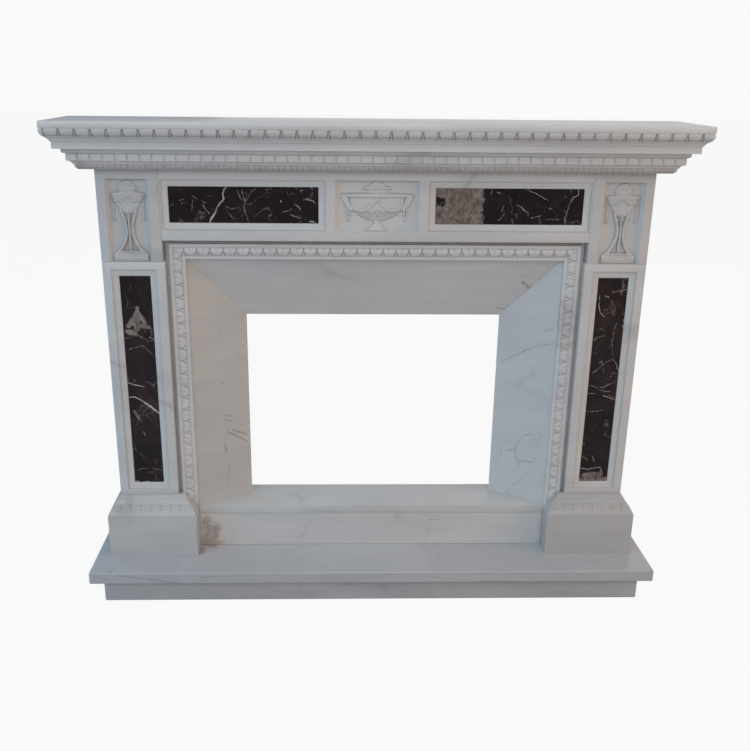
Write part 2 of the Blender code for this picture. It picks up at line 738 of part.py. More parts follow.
def make_slips():
    side = splayed_outline(HALF_CLEAR, REAR_OPENING_WIDTH / 2)
    top = splayed_outline(CLEAR_TOP, REAR_TOP)
    heights = {point: z for point, (z, depth) in zip(side, top)}

    def height(a, b):
        point = min(heights, key=lambda known: (Vector(known) - Vector((a, b))).length)
        return heights[point]

    def half_width(a, b):
        point = min(range(4), key=lambda k: (Vector(top[k]) - Vector((a, b))).length)
        return side[point][0]

    bm = bar(side, lambda a, b: RAISED_TOP, lambda a, b: height(a, b) - JOINT,
             lambda a, b, s: Vector((a, b, s)))
    slip = piece("slip_right", bm, (HALF_CLEAR, SLIP_FRONT, RAISED_TOP))
    opposite(slip, "slip_left")
    bm = bar(top, lambda a, b: -half_width(a, b), half_width, lambda a, b, s: Vector((s, b, a)))
    piece("slip_top", bm, (0, SLIP_FRONT, CLEAR_TOP))


# The bed moulding: an ovolo, two small steps and the dentils

def make_bed_moulding():
    wall = DENTIL_PROJECTION - DENTIL_DEPTH
    dentil_foot = FRIEZE_TOP + BED_HEIGHT * 0.43
    dentil_head = FRIEZE_TOP + BED_HEIGHT * 0.76
    ovolo = ((0.0, 0.0), (0.33, 0.06), (0.53, 0.16), (0.56, 0.26), (0.75, 0.28), (0.75, 0.35), (1.0, 0.38))
    profile = [(BED_FOOT + (wall - BED_FOOT) * out, FRIEZE_TOP + BED_HEIGHT * up) for out, up in ovolo]
    profile += [
        (wall, dentil_foot),
        (DENTIL_PROJECTION, dentil_foot + JOINT),
        (DENTIL_PROJECTION, dentil_foot + DENTIL_WEB),
        (DENTIL_PROJECTION, dentil_head - DENTIL_WEB),
        (DENTIL_PROJECTION, dentil_head),
        (CORONA_FOOT - DENTIL_WEB, dentil_head + DENTIL_WEB),
        (CORONA_FOOT, dentil_head + DENTIL_WEB * 3),
        (CORONA_FOOT, BED_TOP - JOINT),
    ]
    bm = moulded_block(-LEG_OUTER, LEG_OUTER, FACE, WALL, profile)
    for axis, outward, lines, span in band_sides(-LEG_OUTER, LEG_OUTER, FACE, WALL, profile[9:11]):
        count = max(2, round((span[1] - span[0]) / DENTIL_PITCH))
        pitch = (span[1] - span[0]) / count
        rows = cut_band(bm, lines, 2 * (count - 1))
        for row in rows:
            for number, point in enumerate(row[1:-1]):
                slot, far = divmod(number, 2)
                point.co[axis] = span[0] + (slot + 1) * pitch + (far - 0.5) * DENTIL_GAP
        slots = []
        for number in range(1, 2 * (count - 1), 2):
            corners = {row[number] for row in rows} | {row[number + 1] for row in rows}
            slots.append(next(f for f in rows[0][number].link_faces if set(f.verts) == corners))
        sunk = bmesh.ops.extrude_discrete_faces(bm, faces=slots)["faces"]
        bmesh.ops.translate(bm, verts=[v for f in sunk for v in f.verts], vec=-outward * DENTIL_DEPTH)
    piece("bed_moulding", bm, (0, FACE, FRIEZE_TOP))


# The shelf: corona, hollow, egg-and-dart and a square edge

EGG_AND_DART = (
    (0.00, (0, 0.15, 0.25, 0)),
    (0.12, (0, 1.0, 0.9, 0)),
    (0.26, (0, 0.35, 0.0, 0)),
    (0.74, (0, 0.35, 0.0, 0)),
    (0.88, (0, 1.0, 0.9, 0)),
)


def make_shelf():
    z = BED_TOP
    step = SHELF_PROJECTION - CORONA_PROJECTION
    top = SHELF_HEIGHT
    egg = [
        (CORONA_PROJECTION + step * 0.58, z + top * 0.45),
        (CORONA_PROJECTION + step * 0.90, z + top * 0.54),
        (SHELF_PROJECTION, z + top * 0.64),
        (SHELF_PROJECTION - step * 0.02, z + top * 0.735),
    ]
    profile = [
        (CORONA_PROJECTION, z),
        (CORONA_PROJECTION, z + top * 0.26),
        (CORONA_PROJECTION + step * 0.12, z + top * 0.275),
        (CORONA_PROJECTION + step * 0.25, z + top * 0.34),
        (CORONA_PROJECTION + step * 0.52, z + top * 0.43),
    ]
    profile += egg
    profile += [
        (SHELF_PROJECTION - step * 0.07, z + top * 0.75),
        (SHELF_PROJECTION, z + top * 0.765),
        (SHELF_PROJECTION, SHELF_TOP - SHELF_ARRIS),
        (SHELF_PROJECTION - SHELF_ARRIS, SHELF_TOP),
    ]
    bm = moulded_block(-LEG_OUTER, LEG_OUTER, FACE, WALL, profile)
    carve_round(bm, band_sides(-LEG_OUTER, LEG_OUTER, FACE, WALL, egg), EGG_AND_DART, EGG_PITCH, EGG_DEPTH)
    piece("shelf", bm, (0, FACE, BED_TOP))


clear_scene()
stones = new_collection("fireplace mantel")
cutters = new_collection("cutters")
mantel = bpy.data.objects.new("mantel", None)
stones.objects.link(mantel)
make_hearth()
make_plinths()
make_legs()
make_corner_blocks()
make_frieze()
make_inner_moulding()
make_slips()
make_bed_moulding()
make_shelf()
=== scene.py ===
import bisect
import math
import random

import bmesh
import bpy
from mathutils import Matrix, Vector


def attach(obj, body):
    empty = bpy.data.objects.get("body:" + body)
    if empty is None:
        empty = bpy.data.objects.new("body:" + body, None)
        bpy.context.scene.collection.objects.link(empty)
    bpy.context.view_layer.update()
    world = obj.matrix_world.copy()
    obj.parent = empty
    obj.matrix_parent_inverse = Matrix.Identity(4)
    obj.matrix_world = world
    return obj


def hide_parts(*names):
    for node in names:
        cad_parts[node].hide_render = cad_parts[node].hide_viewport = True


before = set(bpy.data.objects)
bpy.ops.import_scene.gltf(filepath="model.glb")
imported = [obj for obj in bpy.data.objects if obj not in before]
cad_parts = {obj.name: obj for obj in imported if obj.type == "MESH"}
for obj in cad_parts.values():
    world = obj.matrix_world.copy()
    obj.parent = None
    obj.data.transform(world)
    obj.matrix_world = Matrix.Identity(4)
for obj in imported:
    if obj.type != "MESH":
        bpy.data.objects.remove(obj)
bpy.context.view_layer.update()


# The under-hearth: a long low block of grey-veined marble that stands on the floor. It is sawn and honed,
# with its arrises just taken off. This first section also has the mason's general means: a finish that is
# laid from shader nodes, a block, and the setting of a finished stone in the place of its CAD node.

JOINT = 0.0003
WALL = 0.1475
BASE_HALF = 0.707
BASE_FRONT = -0.1175
BASE_TOP = 0.066
ARRIS = 0.0009
BASE_CELL = 0.005


class Signal:
    """A shader socket that stands in sums like a number. Each operator lays one Math node."""

    def __init__(self, finish, socket):
        self.finish = finish
        self.socket = socket

    def sum(self, operation, first, second):
        return self.finish.node("ShaderNodeMath", {"operation": operation}, {0: first, 1: second})

    def __add__(self, other):
        return self.sum("ADD", self, other)

    def __sub__(self, other):
        return self.sum("SUBTRACT", self, other)

    def __rsub__(self, other):
        return self.sum("SUBTRACT", other, self)

    def __mul__(self, other):
        return self.sum("MULTIPLY", self, other)

    def __abs__(self):
        return self.sum("ABSOLUTE", self, 0.0)

    __radd__ = __add__
    __rmul__ = __mul__


class Finish:
    """A stone's finish. node() lays any node: its settings first, then its sockets' values or links."""

    def __init__(self, name):
        self.material = bpy.data.materials.new(name)
        self.material.use_nodes = True
        self.tree = self.material.node_tree
        self.shader = self.tree.nodes["Principled BSDF"]

    def node(self, kind, settings=None, sockets=None, out=0):
        made = self.tree.nodes.new(kind)
        for key, value in (settings or {}).items():
            setattr(made, key, value)
        for key, value in (sockets or {}).items():
            self.feed(made.inputs[key], value)
        return Signal(self, made.outputs[out])

    def feed(self, socket, value):
        if isinstance(value, Signal):
            self.tree.links.new(value.socket, socket)
        else:
            socket.default_value = value

    def place(self, seed, turn=(0, 0, 0), stretch=(1, 1, 1)):
        """Where a point lies in the block of stone that this piece was sawn from."""
        here = self.node("ShaderNodeTexCoord", out="Object")
        shift = (seed * 3.71, seed * -2.13, seed * 5.37)
        return self.node("ShaderNodeMapping", {}, {"Vector": here, "Location": shift, "Rotation": turn,
                                                  "Scale": stretch})

    def clouds(self, where, scale, detail=3.0, rough=0.5, bend=0.0):
        return self.node("ShaderNodeTexNoise", {}, {"Vector": where, "Scale": scale, "Detail": detail,
                                                    "Roughness": rough, "Distortion": bend})

    def warp(self, where, scale, by):
        """Bend the places by a coloured noise, so that what is drawn on them runs in uneven lines."""
        bend = self.node("ShaderNodeTexNoise", {}, {"Vector": where, "Scale": scale, "Detail": 4.0}, out=1)
        bend = self.node("ShaderNodeVectorMath", {"operation": "SCALE"}, {0: bend, "Scale": by})
        return self.node("ShaderNodeVectorMath", {"operation": "ADD"}, {0: where, 1: bend})

    def ramp(self, signal, low, high, to_low=0.0, to_high=1.0):
        return self.node("ShaderNodeMapRange", {"interpolation_type": "SMOOTHSTEP"},
                         {0: signal, 1: low, 2: high, 3: to_low, 4: to_high})

    def mix(self, share, first, second):
        return self.node("ShaderNodeMix", {"data_type": "RGBA"}, {0: share, 6: first, 7: second}, out=2)

    def drawn(self, name, ragged, low, high):
        """Where the mesh carries lines drawn under a name, with ragged edges. Unmarked stone has none."""
        mark = self.node("ShaderNodeAttribute", {"attribute_name": name}, out="Fac")
        return self.ramp(mark - 1.0 + ragged, low, high) * self.ramp(mark, 0.0, 0.4)

    def ridge(self, where, scale, width):
        """Thin lines, 1 at their middle, along the places where a noise crosses its mean."""
        level = self.clouds(where, scale, detail=2.0)
        return self.ramp(abs(level - 0.5), 0.0, width, 1.0, 0.0)


def marble(name, seed, light, shade, vein, vein_strength=0.5, dust=0.5, turn=(0.5, 0.35, 0.6),
           dust_colour=(0.29, 0.255, 0.235), vein_drawn=0.42):
    """Honed marble: clouds, long grey veins, drawn veins and stains, crystal grain, and in the hollows dirt
    with painted shade.
    """
    finish = Finish(name)
    where = finish.place(seed, turn, (1.0, 1.0, 2.2))
    bands = finish.clouds(finish.place(seed, (0.0, 0.06, 0.1), (1.0, 1.0, 7.0)), 4.0, 5.0, 0.6, 0.3)
    cloud = finish.ramp(finish.clouds(where, 2.3, 5.0, 0.6, 0.4) * 0.6 + bands * 0.4, 0.38, 0.62)
    colour = finish.mix(cloud, (*shade, 1), (*light, 1))
    bent = finish.warp(where, 3.0, 0.16)
    kept = finish.ramp(finish.clouds(where, 1.7, 2.0), 0.50, 0.64)
    broad = finish.ridge(bent, 2.1, 0.020) * kept
    haze = finish.ridge(bent, 2.1, 0.085) * kept
    kept_fine = finish.ramp(finish.clouds(where, 4.6, 2.0), 0.54, 0.68)
    fine = finish.ridge(finish.warp(where, 5.0, 0.03), 4.0, 0.012) * kept_fine
    grey = broad * 0.50 + haze * 0.26 + fine * 0.18
    colour = finish.mix(grey * vein_strength, colour, (*vein, 1))
    ragged = finish.clouds(where, 70.0, 4.0) - 0.5
    broken = finish.ramp(finish.clouds(where, 38.0, 2.0), 0.34, 0.54, 0.45, 1.0)
    drawn = finish.drawn("vein", ragged * 1.6, -0.1, 0.9) * broken
    colour = finish.mix(drawn * vein_drawn, colour, (0.21, 0.175, 0.185, 1))
    speckle = finish.clouds(finish.place(seed), 130.0, 5.0, 0.75) - 0.5
    stain = finish.drawn("stain", ragged * 1.2 + speckle * 3.0, -0.6, 1.0)
    colour = finish.mix(stain * 0.60, colour, (0.27, 0.165, 0.115, 1))
    grain = finish.clouds(finish.place(seed), 420.0, 2.0)
    colour = finish.mix(finish.ramp(grain, 0.35, 0.75, 0.0, 0.07), colour, (0.30, 0.30, 0.31, 1))
    # Painted shade and dirt: the hollow mark (creases, grooves, darts, the ground round carved relief, whole
    # carved bands) darkens the colour towards a dusty brown. It stands in for the shade that falls there as
    # well as for dirt.
    hollow = finish.node("ShaderNodeAttribute", {"attribute_name": "hollow"}, out="Fac")
    uneven = finish.ramp(finish.clouds(where, 90.0, 3.0), 0.25, 0.55, 0.5, 1.0)
    dust_and_shade_mask = finish.ramp(hollow, 0.0, 1.0) * uneven
    colour = finish.mix(dust_and_shade_mask * dust, colour, (*dust_colour, 1))
    finish.feed(finish.shader.inputs["Base Color"], colour)
    rough = 0.36 + cloud * 0.06 + grey * 0.08 + dust_and_shade_mask * 0.3 + (grain - 0.5) * 0.12
    finish.feed(finish.shader.inputs["Roughness"], rough)
    wavy = finish.clouds(finish.place(seed), 28.0, 2.0) * 0.5 + grain * 0.12
    bump = finish.node("ShaderNodeBump", {}, {"Strength": 0.22, "Distance": 0.0009, "Height": wavy})
    finish.feed(finish.shader.inputs["Normal"], bump)
    finish.shader.inputs["IOR"].default_value = 1.5
    return finish.material


def grey_marble(name, seed, **finish):
    return marble(name, seed, (0.60, 0.605, 0.62), (0.52, 0.525, 0.545), (0.24, 0.245, 0.27),
                  vein_strength=0.8, turn=(0.2, 0.75, 0.25), **finish)


def block(x0, x1, y0, y1, z0, z1, arris=ARRIS, segments=2):
    """A sawn block with its arrises taken off."""
    bm = bmesh.new()
    bmesh.ops.create_cube(bm, size=1.0)
    size = Vector((x1 - x0, y1 - y0, z1 - z0))
    bmesh.ops.scale(bm, verts=bm.verts, vec=size)
    bmesh.ops.translate(bm, verts=bm.verts, vec=Vector((x0 + x1, y0 + y1, z0 + z1)) / 2)
    if arris:
        bmesh.ops.bevel(bm, geom=bm.edges, offset=arris, segments=segments, profile=0.5, affect="EDGES",
                        material=-1)
    return bm


def cut_up(bm, axis, step):
    """Cut a stone's faces across an axis at even steps, so that marks can be laid on its points."""
    low = min(v.co[axis] for v in bm.verts)
    high = max(v.co[axis] for v in bm.verts)
    normal = Vector((0, 0, 0))
    normal[axis] = 1
    for count in range(1, round((high - low) / step)):
        at = normal * (low + count * step)
        everything = bm.verts[:] + bm.edges[:] + bm.faces[:]
        bmesh.ops.bisect_plane(bm, geom=everything, plane_co=at, plane_no=normal, dist=0.00002)


def draw_lines(bm, name, lines, fine=0.0):
    """Mark each point by its distance from the drawn lines: 2 on a line, 1 at its edge, 0 far from it.
    A line that is finer than the mesh is drawn as wide as the mesh can show, but fainter."""
    layer = bm.verts.layers.float.get(name) or bm.verts.layers.float.new(name)
    runs = []
    for width, points in lines:
        force = min(1.0, width / fine) if fine else 1.0
        width = max(width, fine)
        reach = width * (1.0 + 1.0 / force)
        for a, b in zip(points, points[1:]):
            low = [min(pair) - reach for pair in zip(a, b)]
            high = [max(pair) + reach for pair in zip(a, b)]
            runs.append((low, high, Vector(a), Vector(b) - Vector(a), width, force))
    for v in bm.verts:
        x, y, z = v.co
        best = 0.0
        for (x0, y0, z0), (x1, y1, z1), a, way, width, force in runs:
            if x0 < x < x1 and y0 < y < y1 and z0 < z < z1:
                share = min(1.0, max(0.0, (v.co - a).dot(way) / max(way.length_squared, 1e-12)))
                best = max(best, 1.0 + force * (1.0 - (a + way * share - v.co).length / width))
        v[layer] = best


def set_stone(name, bm, material, node, crease=28.0):
    """Lay a finished stone in the place of its CAD node."""
    bmesh.ops.recalc_face_normals(bm, faces=bm.faces)
    for edge in bm.edges:
        edge.smooth = len(edge.link_faces) == 2 and edge.calc_face_angle(0.0) < math.radians(crease)
    for face in bm.faces:
        face.smooth = True
    mesh = bpy.data.meshes.new(name)
    bm.to_mesh(mesh)
    bm.free()
    mesh.materials.append(material)
    stone = bpy.data.objects.new(name, mesh)
    bpy.context.scene.collection.objects.link(stone)
    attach(stone, "root")
    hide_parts(node)


base = block(-BASE_HALF, BASE_HALF, BASE_FRONT, WALL, 0.0, BASE_TOP - JOINT)
cut_up(base, 0, BASE_CELL)
cut_up(base, 2, BASE_CELL)
draw_lines(base, "vein", [
    (0.0022, ((-0.668, BASE_FRONT, 0.019), (-0.633, BASE_FRONT, 0.034), (-0.60, BASE_FRONT, 0.046))),
    (0.0030, ((-0.353, BASE_FRONT, 0.011), (-0.286, BASE_FRONT, 0.013))),
    (0.0020, ((-0.18, BASE_FRONT, 0.010), (-0.09, BASE_FRONT, 0.042), (-0.02, BASE_FRONT, 0.050))),
    (0.0020, ((0.31, BASE_FRONT, 0.012), (0.42, BASE_FRONT, 0.040), (0.47, BASE_FRONT, 0.062)))])
set_stone("under_hearth", base, grey_marble("under-hearth marble", 1.0), "hearth_base")


# The front hearth: a slab of the same grey-veined marble that overhangs the block below it. Its upper and
# lower arrises are rounded by hand, and long grey veins run slantwise across its top and edge.

HEARTH_HALF = 0.737
HEARTH_FRONT = -0.1475
HEARTH_TOP = 0.0975
HEARTH_ROUND = 0.0026
HEARTH_CELL = 0.004

slab = block(-HEARTH_HALF, HEARTH_HALF, HEARTH_FRONT, WALL, BASE_TOP, HEARTH_TOP - JOINT, HEARTH_ROUND, 4)
for axis in range(3):
    cut_up(slab, axis, HEARTH_CELL)
EDGE_VEINS = (
    (0.0028, ((-0.66, 0.091), (-0.58, 0.078), (-0.496, 0.066))),
    (0.0036, ((-0.593, 0.081), (-0.539, 0.072))),
    (0.0022, ((-0.451, 0.086), (-0.36, 0.088), (-0.288, 0.070), (-0.182, 0.066))),
    (0.0024, ((-0.457, 0.074), (-0.422, 0.089))),
    (0.0022, ((-0.075, 0.068), (-0.002, 0.086), (0.066, 0.092))),
    (0.0022, ((-0.721, 0.087), (-0.671, 0.075))),
    (0.0018, ((-0.27, 0.068), (-0.14, 0.081), (-0.062, 0.084))),
    (0.0020, ((0.121, 0.086), (0.253, 0.072), (0.385, 0.067))),
    (0.0018, ((0.44, 0.070), (0.52, 0.084), (0.60, 0.090))))
TOP_VEINS = (
    (0.0026, ((-0.683, -0.145), (-0.665, -0.092), (-0.64, -0.06))),
    (0.0026, ((-0.547, -0.145), (-0.534, -0.109), (-0.512, -0.083))),
    (0.0022, ((-0.268, -0.14), (-0.24, -0.058), (-0.191, 0.004))),
    (0.0022, ((-0.685, -0.134), (-0.592, -0.077), (-0.473, -0.056))),
    (0.0020, ((0.147, -0.005), (0.161, -0.062), (0.256, -0.117), (0.344, -0.144))),
    (0.0022, ((0.489, -0.146), (0.58, -0.098), (0.657, -0.066))),
    (0.0018, ((-0.387, -0.137), (-0.353, -0.084), (-0.276, -0.041))))
draw_lines(slab, "vein", [(w, [(x, HEARTH_FRONT, z) for x, z in points]) for w, points in EDGE_VEINS]
           + [(w, [(x, y, HEARTH_TOP) for x, y in points]) for w, points in TOP_VEINS])
draw_lines(slab, "stain", [(0.010, ((-0.468, 0.02, HEARTH_TOP), (-0.435, 0.0, HEARTH_TOP))),
                           (0.008, ((-0.462, -0.01, HEARTH_TOP), (-0.462, -0.04, HEARTH_TOP)))])
set_stone("front_hearth", slab, grey_marble("front hearth marble", 2.3), "hearth_slab")


# The inner hearth: an upright riser with a thin slab on it, both of white marble and as wide as the space
# between the plinths. A brown iron stain shows at the riser's left end, and grey veins cross it.

HALF_CLEAR = 0.468
INNER_FRONT = 0.0085
RISER_TOP = 0.191
RAISED_TOP = 0.2155
RISER_CELL = 0.0035
RAISED_ROUND = 0.0014


def white_marble(name, seed, tone_and_painted_light=1.0, **finish):
    # Painted light and shade: the third argument lightens or darkens a whole piece's colour, standing in for
    # how much light reaches that piece.
    light = [tone_and_painted_light * channel for channel in (0.70, 0.695, 0.685)]
    shade = [tone_and_painted_light * channel for channel in (0.635, 0.63, 0.625)]
    return marble(name, seed, light, shade, (0.30, 0.295, 0.30), **finish)


half = HALF_CLEAR - JOINT
riser = block(-half, half, INNER_FRONT, WALL, HEARTH_TOP, RISER_TOP - JOINT)
cut_up(riser, 0, RISER_CELL)
cut_up(riser, 2, RISER_CELL)
RISER_STAINS = (
    (0.016, ((-0.452, 0.10), (-0.446, 0.140), (-0.449, 0.165))), (0.013, ((-0.436, 0.10), (-0.424, 0.150))),
    (0.014, ((-0.462, 0.10), (-0.420, 0.10))))
RISER_VEINS = (
    (0.0022, ((-0.205, 0.099), (-0.188, 0.129), (-0.177, 0.153), (-0.160, 0.174))),
    (0.0020, ((0.148, 0.10), (0.155, 0.139), (0.162, 0.176))),
    (0.0016, ((-0.114, 0.171), (0.023, 0.158), (0.187, 0.173))))
draw_lines(riser, "stain", [(w, [(x, INNER_FRONT, z) for x, z in points]) for w, points in RISER_STAINS])
draw_lines(riser, "vein", [(w, [(x, INNER_FRONT, z) for x, z in points]) for w, points in RISER_VEINS])
set_stone("inner_hearth_riser", riser, white_marble("riser marble", 3.1), "hearth_riser")
raised = block(-half, half, INNER_FRONT, WALL, RISER_TOP, RAISED_TOP - JOINT, RAISED_ROUND, 3)
# Painted shade: the raised slab is made a little darker, standing in for less light on its top.
finish = white_marble("raised hearth marble", 4.7, 0.96)
set_stone("inner_hearth_slab", raised, finish, "raised_hearth")


# The plinths: blocks of white marble under the legs. Each has a plain die, a row of small carved leaves, a
# fillet, and a hollow that runs up to the leg, mitred round its three free sides.

FACE = -0.0175
PLINTH_INNER = 0.500
LEG_OUTER = 0.668
DIE_TOP = 0.211
CAP_HEIGHT = 0.051
CAP_REACH = 0.032
CAP_LEAF = 0.0262
MOULDING_FRONT = -0.0055
SLIP_FRONT = 0.0155
GROOVE_OUTER = 0.516
STRIP_FOOT_INNER = 0.2055
STRIP_FOOT_OUTER = 0.2475
SLIP_SEAT_OUTER = 0.4905
SLIP_SEAT_BACK = 0.030
SEAT_HEAD = 0.275
SEAT_CLEAR = 0.005
CAP_CELL = 0.0016


def spread(low, high, step, edges=()):
    """Places from low to high about a step apart, with the given ones among them."""
    count = max(1, round((high - low) / step))
    places = [low + (high - low) * n / count for n in range(count + 1)]
    places += [place for place in edges if low < place < high]
    return sorted(set(places))


def smooth_line(points, step):
    """Points along a line through the given ones, about a step apart, keeping the given ones."""
    line = [points[0]]
    for a, b in zip(points, points[1:]):
        count = max(1, round((Vector(b) - Vector(a)).length / step))
        line += [tuple(Vector(a).lerp(Vector(b), n / count)) for n in range(1, count + 1)]
    return line


def skin(columns, rows, place):
    """A closed stone whose skin is a grid: place(column, row) gives each crossing's point and its hollow."""
    bm = bmesh.new()
    bmesh.ops.create_grid(bm, x_segments=len(columns) - 1, y_segments=len(rows) - 1, size=1.0)
    layer = bm.verts.layers.float.new("hollow")
    for v in bm.verts:
        column = columns[round((v.co.x + 1) / 2 * (len(columns) - 1))]
        row = rows[round((v.co.y + 1) / 2 * (len(rows) - 1))]
        v.co, v[layer] = place(column, row)
    bmesh.ops.remove_doubles(bm, verts=bm.verts, dist=0.00001)
    bmesh.ops.holes_fill(bm, edges=[e for e in bm.edges if e.is_boundary], sides=0)
    return bm


def course(x0, x1, profile, fine, carve, carved=(True, True), edges=None):
    """A moulded course, mitred at its two front corners and cut flat at the wall. The profile's points are
    (projection, height, place in the carved band or None). carve(along, up) gives the sinking and hollow."""
    band = [out for out, z, up in profile if up is not None]
    tight = min(band) if band else 0.0
    ends = [("left", y) for y in spread(FACE - tight, WALL, fine, edges and edges[1] or ())][::-1]
    fronts = [("front", x) for x in spread(x0 - tight, x1 + tight, fine, edges and edges[0] or ())]
    others = [("right", y) for y in spread(FACE - tight, WALL, fine, edges and edges[1] or ())]
    columns = [*ends, ("left", -1.0), *fronts, ("right", -1.0), *others, ends[0]]

    def place(column, row):
        side, along = column
        out, z, up = row
        sink = hollow = 0.0
        if side == "front":
            x, y = min(x1 + out, max(x0 - out, along)), FACE - out
            if up is not None:
                sink, hollow = carve(along - x0 + tight, up)
                sink *= min(1.0, (x1 + tight - along) / 0.002, (along - x0 + tight) / 0.002)
            return (x, y + sink, z), hollow
        x, y = (x0 - out if side == "left" else x1 + out), max(FACE - out, along)
        if up is not None and along > -1.0 and carved[side == "right"]:
            sink, hollow = carve(along - FACE + tight, up)
            sink *= min(1.0, (along - FACE + tight) / 0.002)
            hollow = hollow if along < WALL - 0.0001 else 0.0
        return (x + (sink if side == "left" else -sink), y, z), hollow

    return skin(columns, profile, place)


def banded(points, low, high, step):
    """A profile whose points between two heights get their place in the carved band, from 0 to 1."""
    return [(out, z, (z - low) / (high - low) if low - 1e-6 <= z <= high + 1e-6 else None)
            for out, z in smooth_line(points, step)]


def cap_leaf(along, up):
    """Small worn leaves with rounded heads, a faint rib in each and a narrow dart between."""
    u = along / CAP_LEAF % 1.0 - 0.5
    edge = 0.5 - abs(u)
    groove = math.exp(-(edge / 0.065) ** 2)
    rib = 0.45 * math.exp(-(u / 0.05) ** 2) * max(0.0, 1.0 - up * 1.1)
    head = 0.55 * max(0.0, up - 0.62 + 0.9 * u * u) / 0.4
    sink = min(1.0, groove + rib + head * (1.0 - groove) + 0.18 * (abs(u) / 0.45) ** 2)
    sink *= max(0.0, min(1.0, up / 0.12, (1.0 - up) / 0.08))
    # Painted shade: every point of the leaf band gets some hollow, so the whole band is darkened, the darts
    # more.
    return 0.0022 * sink, 0.34 + 0.7 * max(0.0, sink - 0.40)


def cap_profile():
    shape = ((1.0, -2.2255), (1.0, 0.02), (0.985, 0.05), (0.95, 0.10), (0.90, 0.16), (0.86, 0.215),
             (0.845, 0.235),
             (0.82, 0.25), (0.78, 0.30), (0.72, 0.37), (0.64, 0.44), (0.56, 0.49), (0.50, 0.52),
             (0.485, 0.545),
             (0.46, 0.56), (0.42, 0.60), (0.35, 0.67), (0.29, 0.735), (0.25, 0.785), (0.235, 0.805),
             (0.165, 0.815), (0.12, 0.85), (0.08, 0.90), (0.05, 0.95), (0.03, 0.995))
    points = [(out * CAP_REACH, DIE_TOP + up * CAP_HEIGHT) for out, up in shape]
    points[0] = (CAP_REACH, HEARTH_TOP)
    low, high = DIE_TOP + 0.245 * CAP_HEIGHT, DIE_TOP + 0.525 * CAP_HEIGHT
    rows = [(*points[0], None)]
    rows += banded(points[1:], low, high, 0.0011)
    return rows


def cut_from(bm, cutters):
    """The stone with closed shapes cut from it."""
    shapes = []
    for number, source in enumerate([bm, *cutters]):
        mesh = bpy.data.meshes.new(f"cutting {number}")
        bmesh.ops.recalc_face_normals(source, faces=source.faces)
        source.to_mesh(mesh)
        source.free()
        shapes.append(bpy.data.objects.new(mesh.name, mesh))
        bpy.context.scene.collection.objects.link(shapes[-1])
    for cutter in shapes[1:]:
        change = shapes[0].modifiers.new(cutter.name, "BOOLEAN")
        change.operation = "DIFFERENCE"
        change.solver = "EXACT"
        change.object = cutter
    bpy.context.view_layer.update()
    shown = shapes[0].evaluated_get(bpy.context.evaluated_depsgraph_get())
    cut = bmesh.new()
    cut.from_mesh(shown.to_mesh())
    shown.to_mesh_clear()
    for shape in shapes:
        bpy.data.meshes.remove(shape.data)
    return cut


def handed(bm, side):
    """The stone as built for the right, or mirrored for the left."""
    bmesh.ops.scale(bm, verts=bm.verts, vec=(side, 1, 1))
    return bm


def plinth():
    """A plinth with the seats of the carved strip and of the slip cut from its inner side."""
    bm = course(PLINTH_INNER, LEG_OUTER, cap_profile(), CAP_CELL, cap_leaf, carved=(False, True))
    slope = (STRIP_FOOT_OUTER - STRIP_FOOT_INNER) / (GROOVE_OUTER - HALF_CLEAR)
    strip_seat = block(HALF_CLEAR - SEAT_CLEAR, GROOVE_OUTER - JOINT, MOULDING_FRONT - JOINT, SLIP_FRONT,
                       STRIP_FOOT_INNER, SEAT_HEAD, 0)
    for v in strip_seat.verts:
        if v.co.z < SEAT_HEAD - SEAT_CLEAR:
            v.co.z = STRIP_FOOT_INNER + slope * (v.co.x - HALF_CLEAR)
    slip_seat = block(HALF_CLEAR - SEAT_CLEAR, SLIP_SEAT_OUTER, SLIP_FRONT - JOINT, SLIP_SEAT_BACK,
                      RAISED_TOP - JOINT, SEAT_HEAD, 0)
    for v in slip_seat.verts:
        if v.co.y > SLIP_FRONT + SEAT_CLEAR and v.co.x > HALF_CLEAR:
            v.co.x = HALF_CLEAR
    return cut_from(bm, [strip_seat, slip_seat])


for side, hand in ((1, "right"), (-1, "left")):
    # Painted shade: the plinths are made darker than the other white stones, the right one more than the
    # left. This stands in for the weaker light near the floor.
    finish = white_marble(f"{hand} plinth marble", 5.2 + side, 0.81 - 0.04 * side, dust=0.45)
    set_stone(f"plinth_block_{hand}", handed(plinth(), side), finish, f"plinth_{hand}")


# The legs: upright blocks of white marble. A long panel is sunk in each front, framed by a square step, a
# small bead and a hollow slope, with a pocket behind for the dark slab that is glued in.

LEG_INNER = 0.516
PLINTH_TOP = 0.262
LEG_TOP = 0.882
LEG_PANEL = (0.537, 0.647, 0.277, 0.863)
# The frame's steps: (inset, depth, hollow). The hollow darkens the stone along the outer step, the bead and
# the edge of the pocket: painted shade and dirt where the steps turn in.
FRAME_SHAPE = ((0.00012, 0.0019, 0.9), (0.0012, 0.0019, 0.5), (0.0030, 0.0020, 0.0), (0.0034, 0.0029, 0.6),
               (0.0040, 0.0035, 0.0), (0.0048, 0.0037, 0.0), (0.0072, 0.0039, 0.0), (0.0094, 0.0043, 0.0),
               (0.0116, 0.0049, 0.0), (0.0138, 0.0056, 0.0), (0.0152, 0.0062, 0.1), (0.0170, 0.0070, 0.5),
               (0.01702, 0.0168, 1.0))


def front_face_at(bm, x, z):
    """The front face that lies over a point."""
    for face in bm.faces:
        if face.normal.y < -0.9:
            xs = [v.co.x for v in face.verts]
            zs = [v.co.z for v in face.verts]
            if min(xs) < x < max(xs) and min(zs) < z < max(zs) and face.calc_area() > 0.0001:
                return face


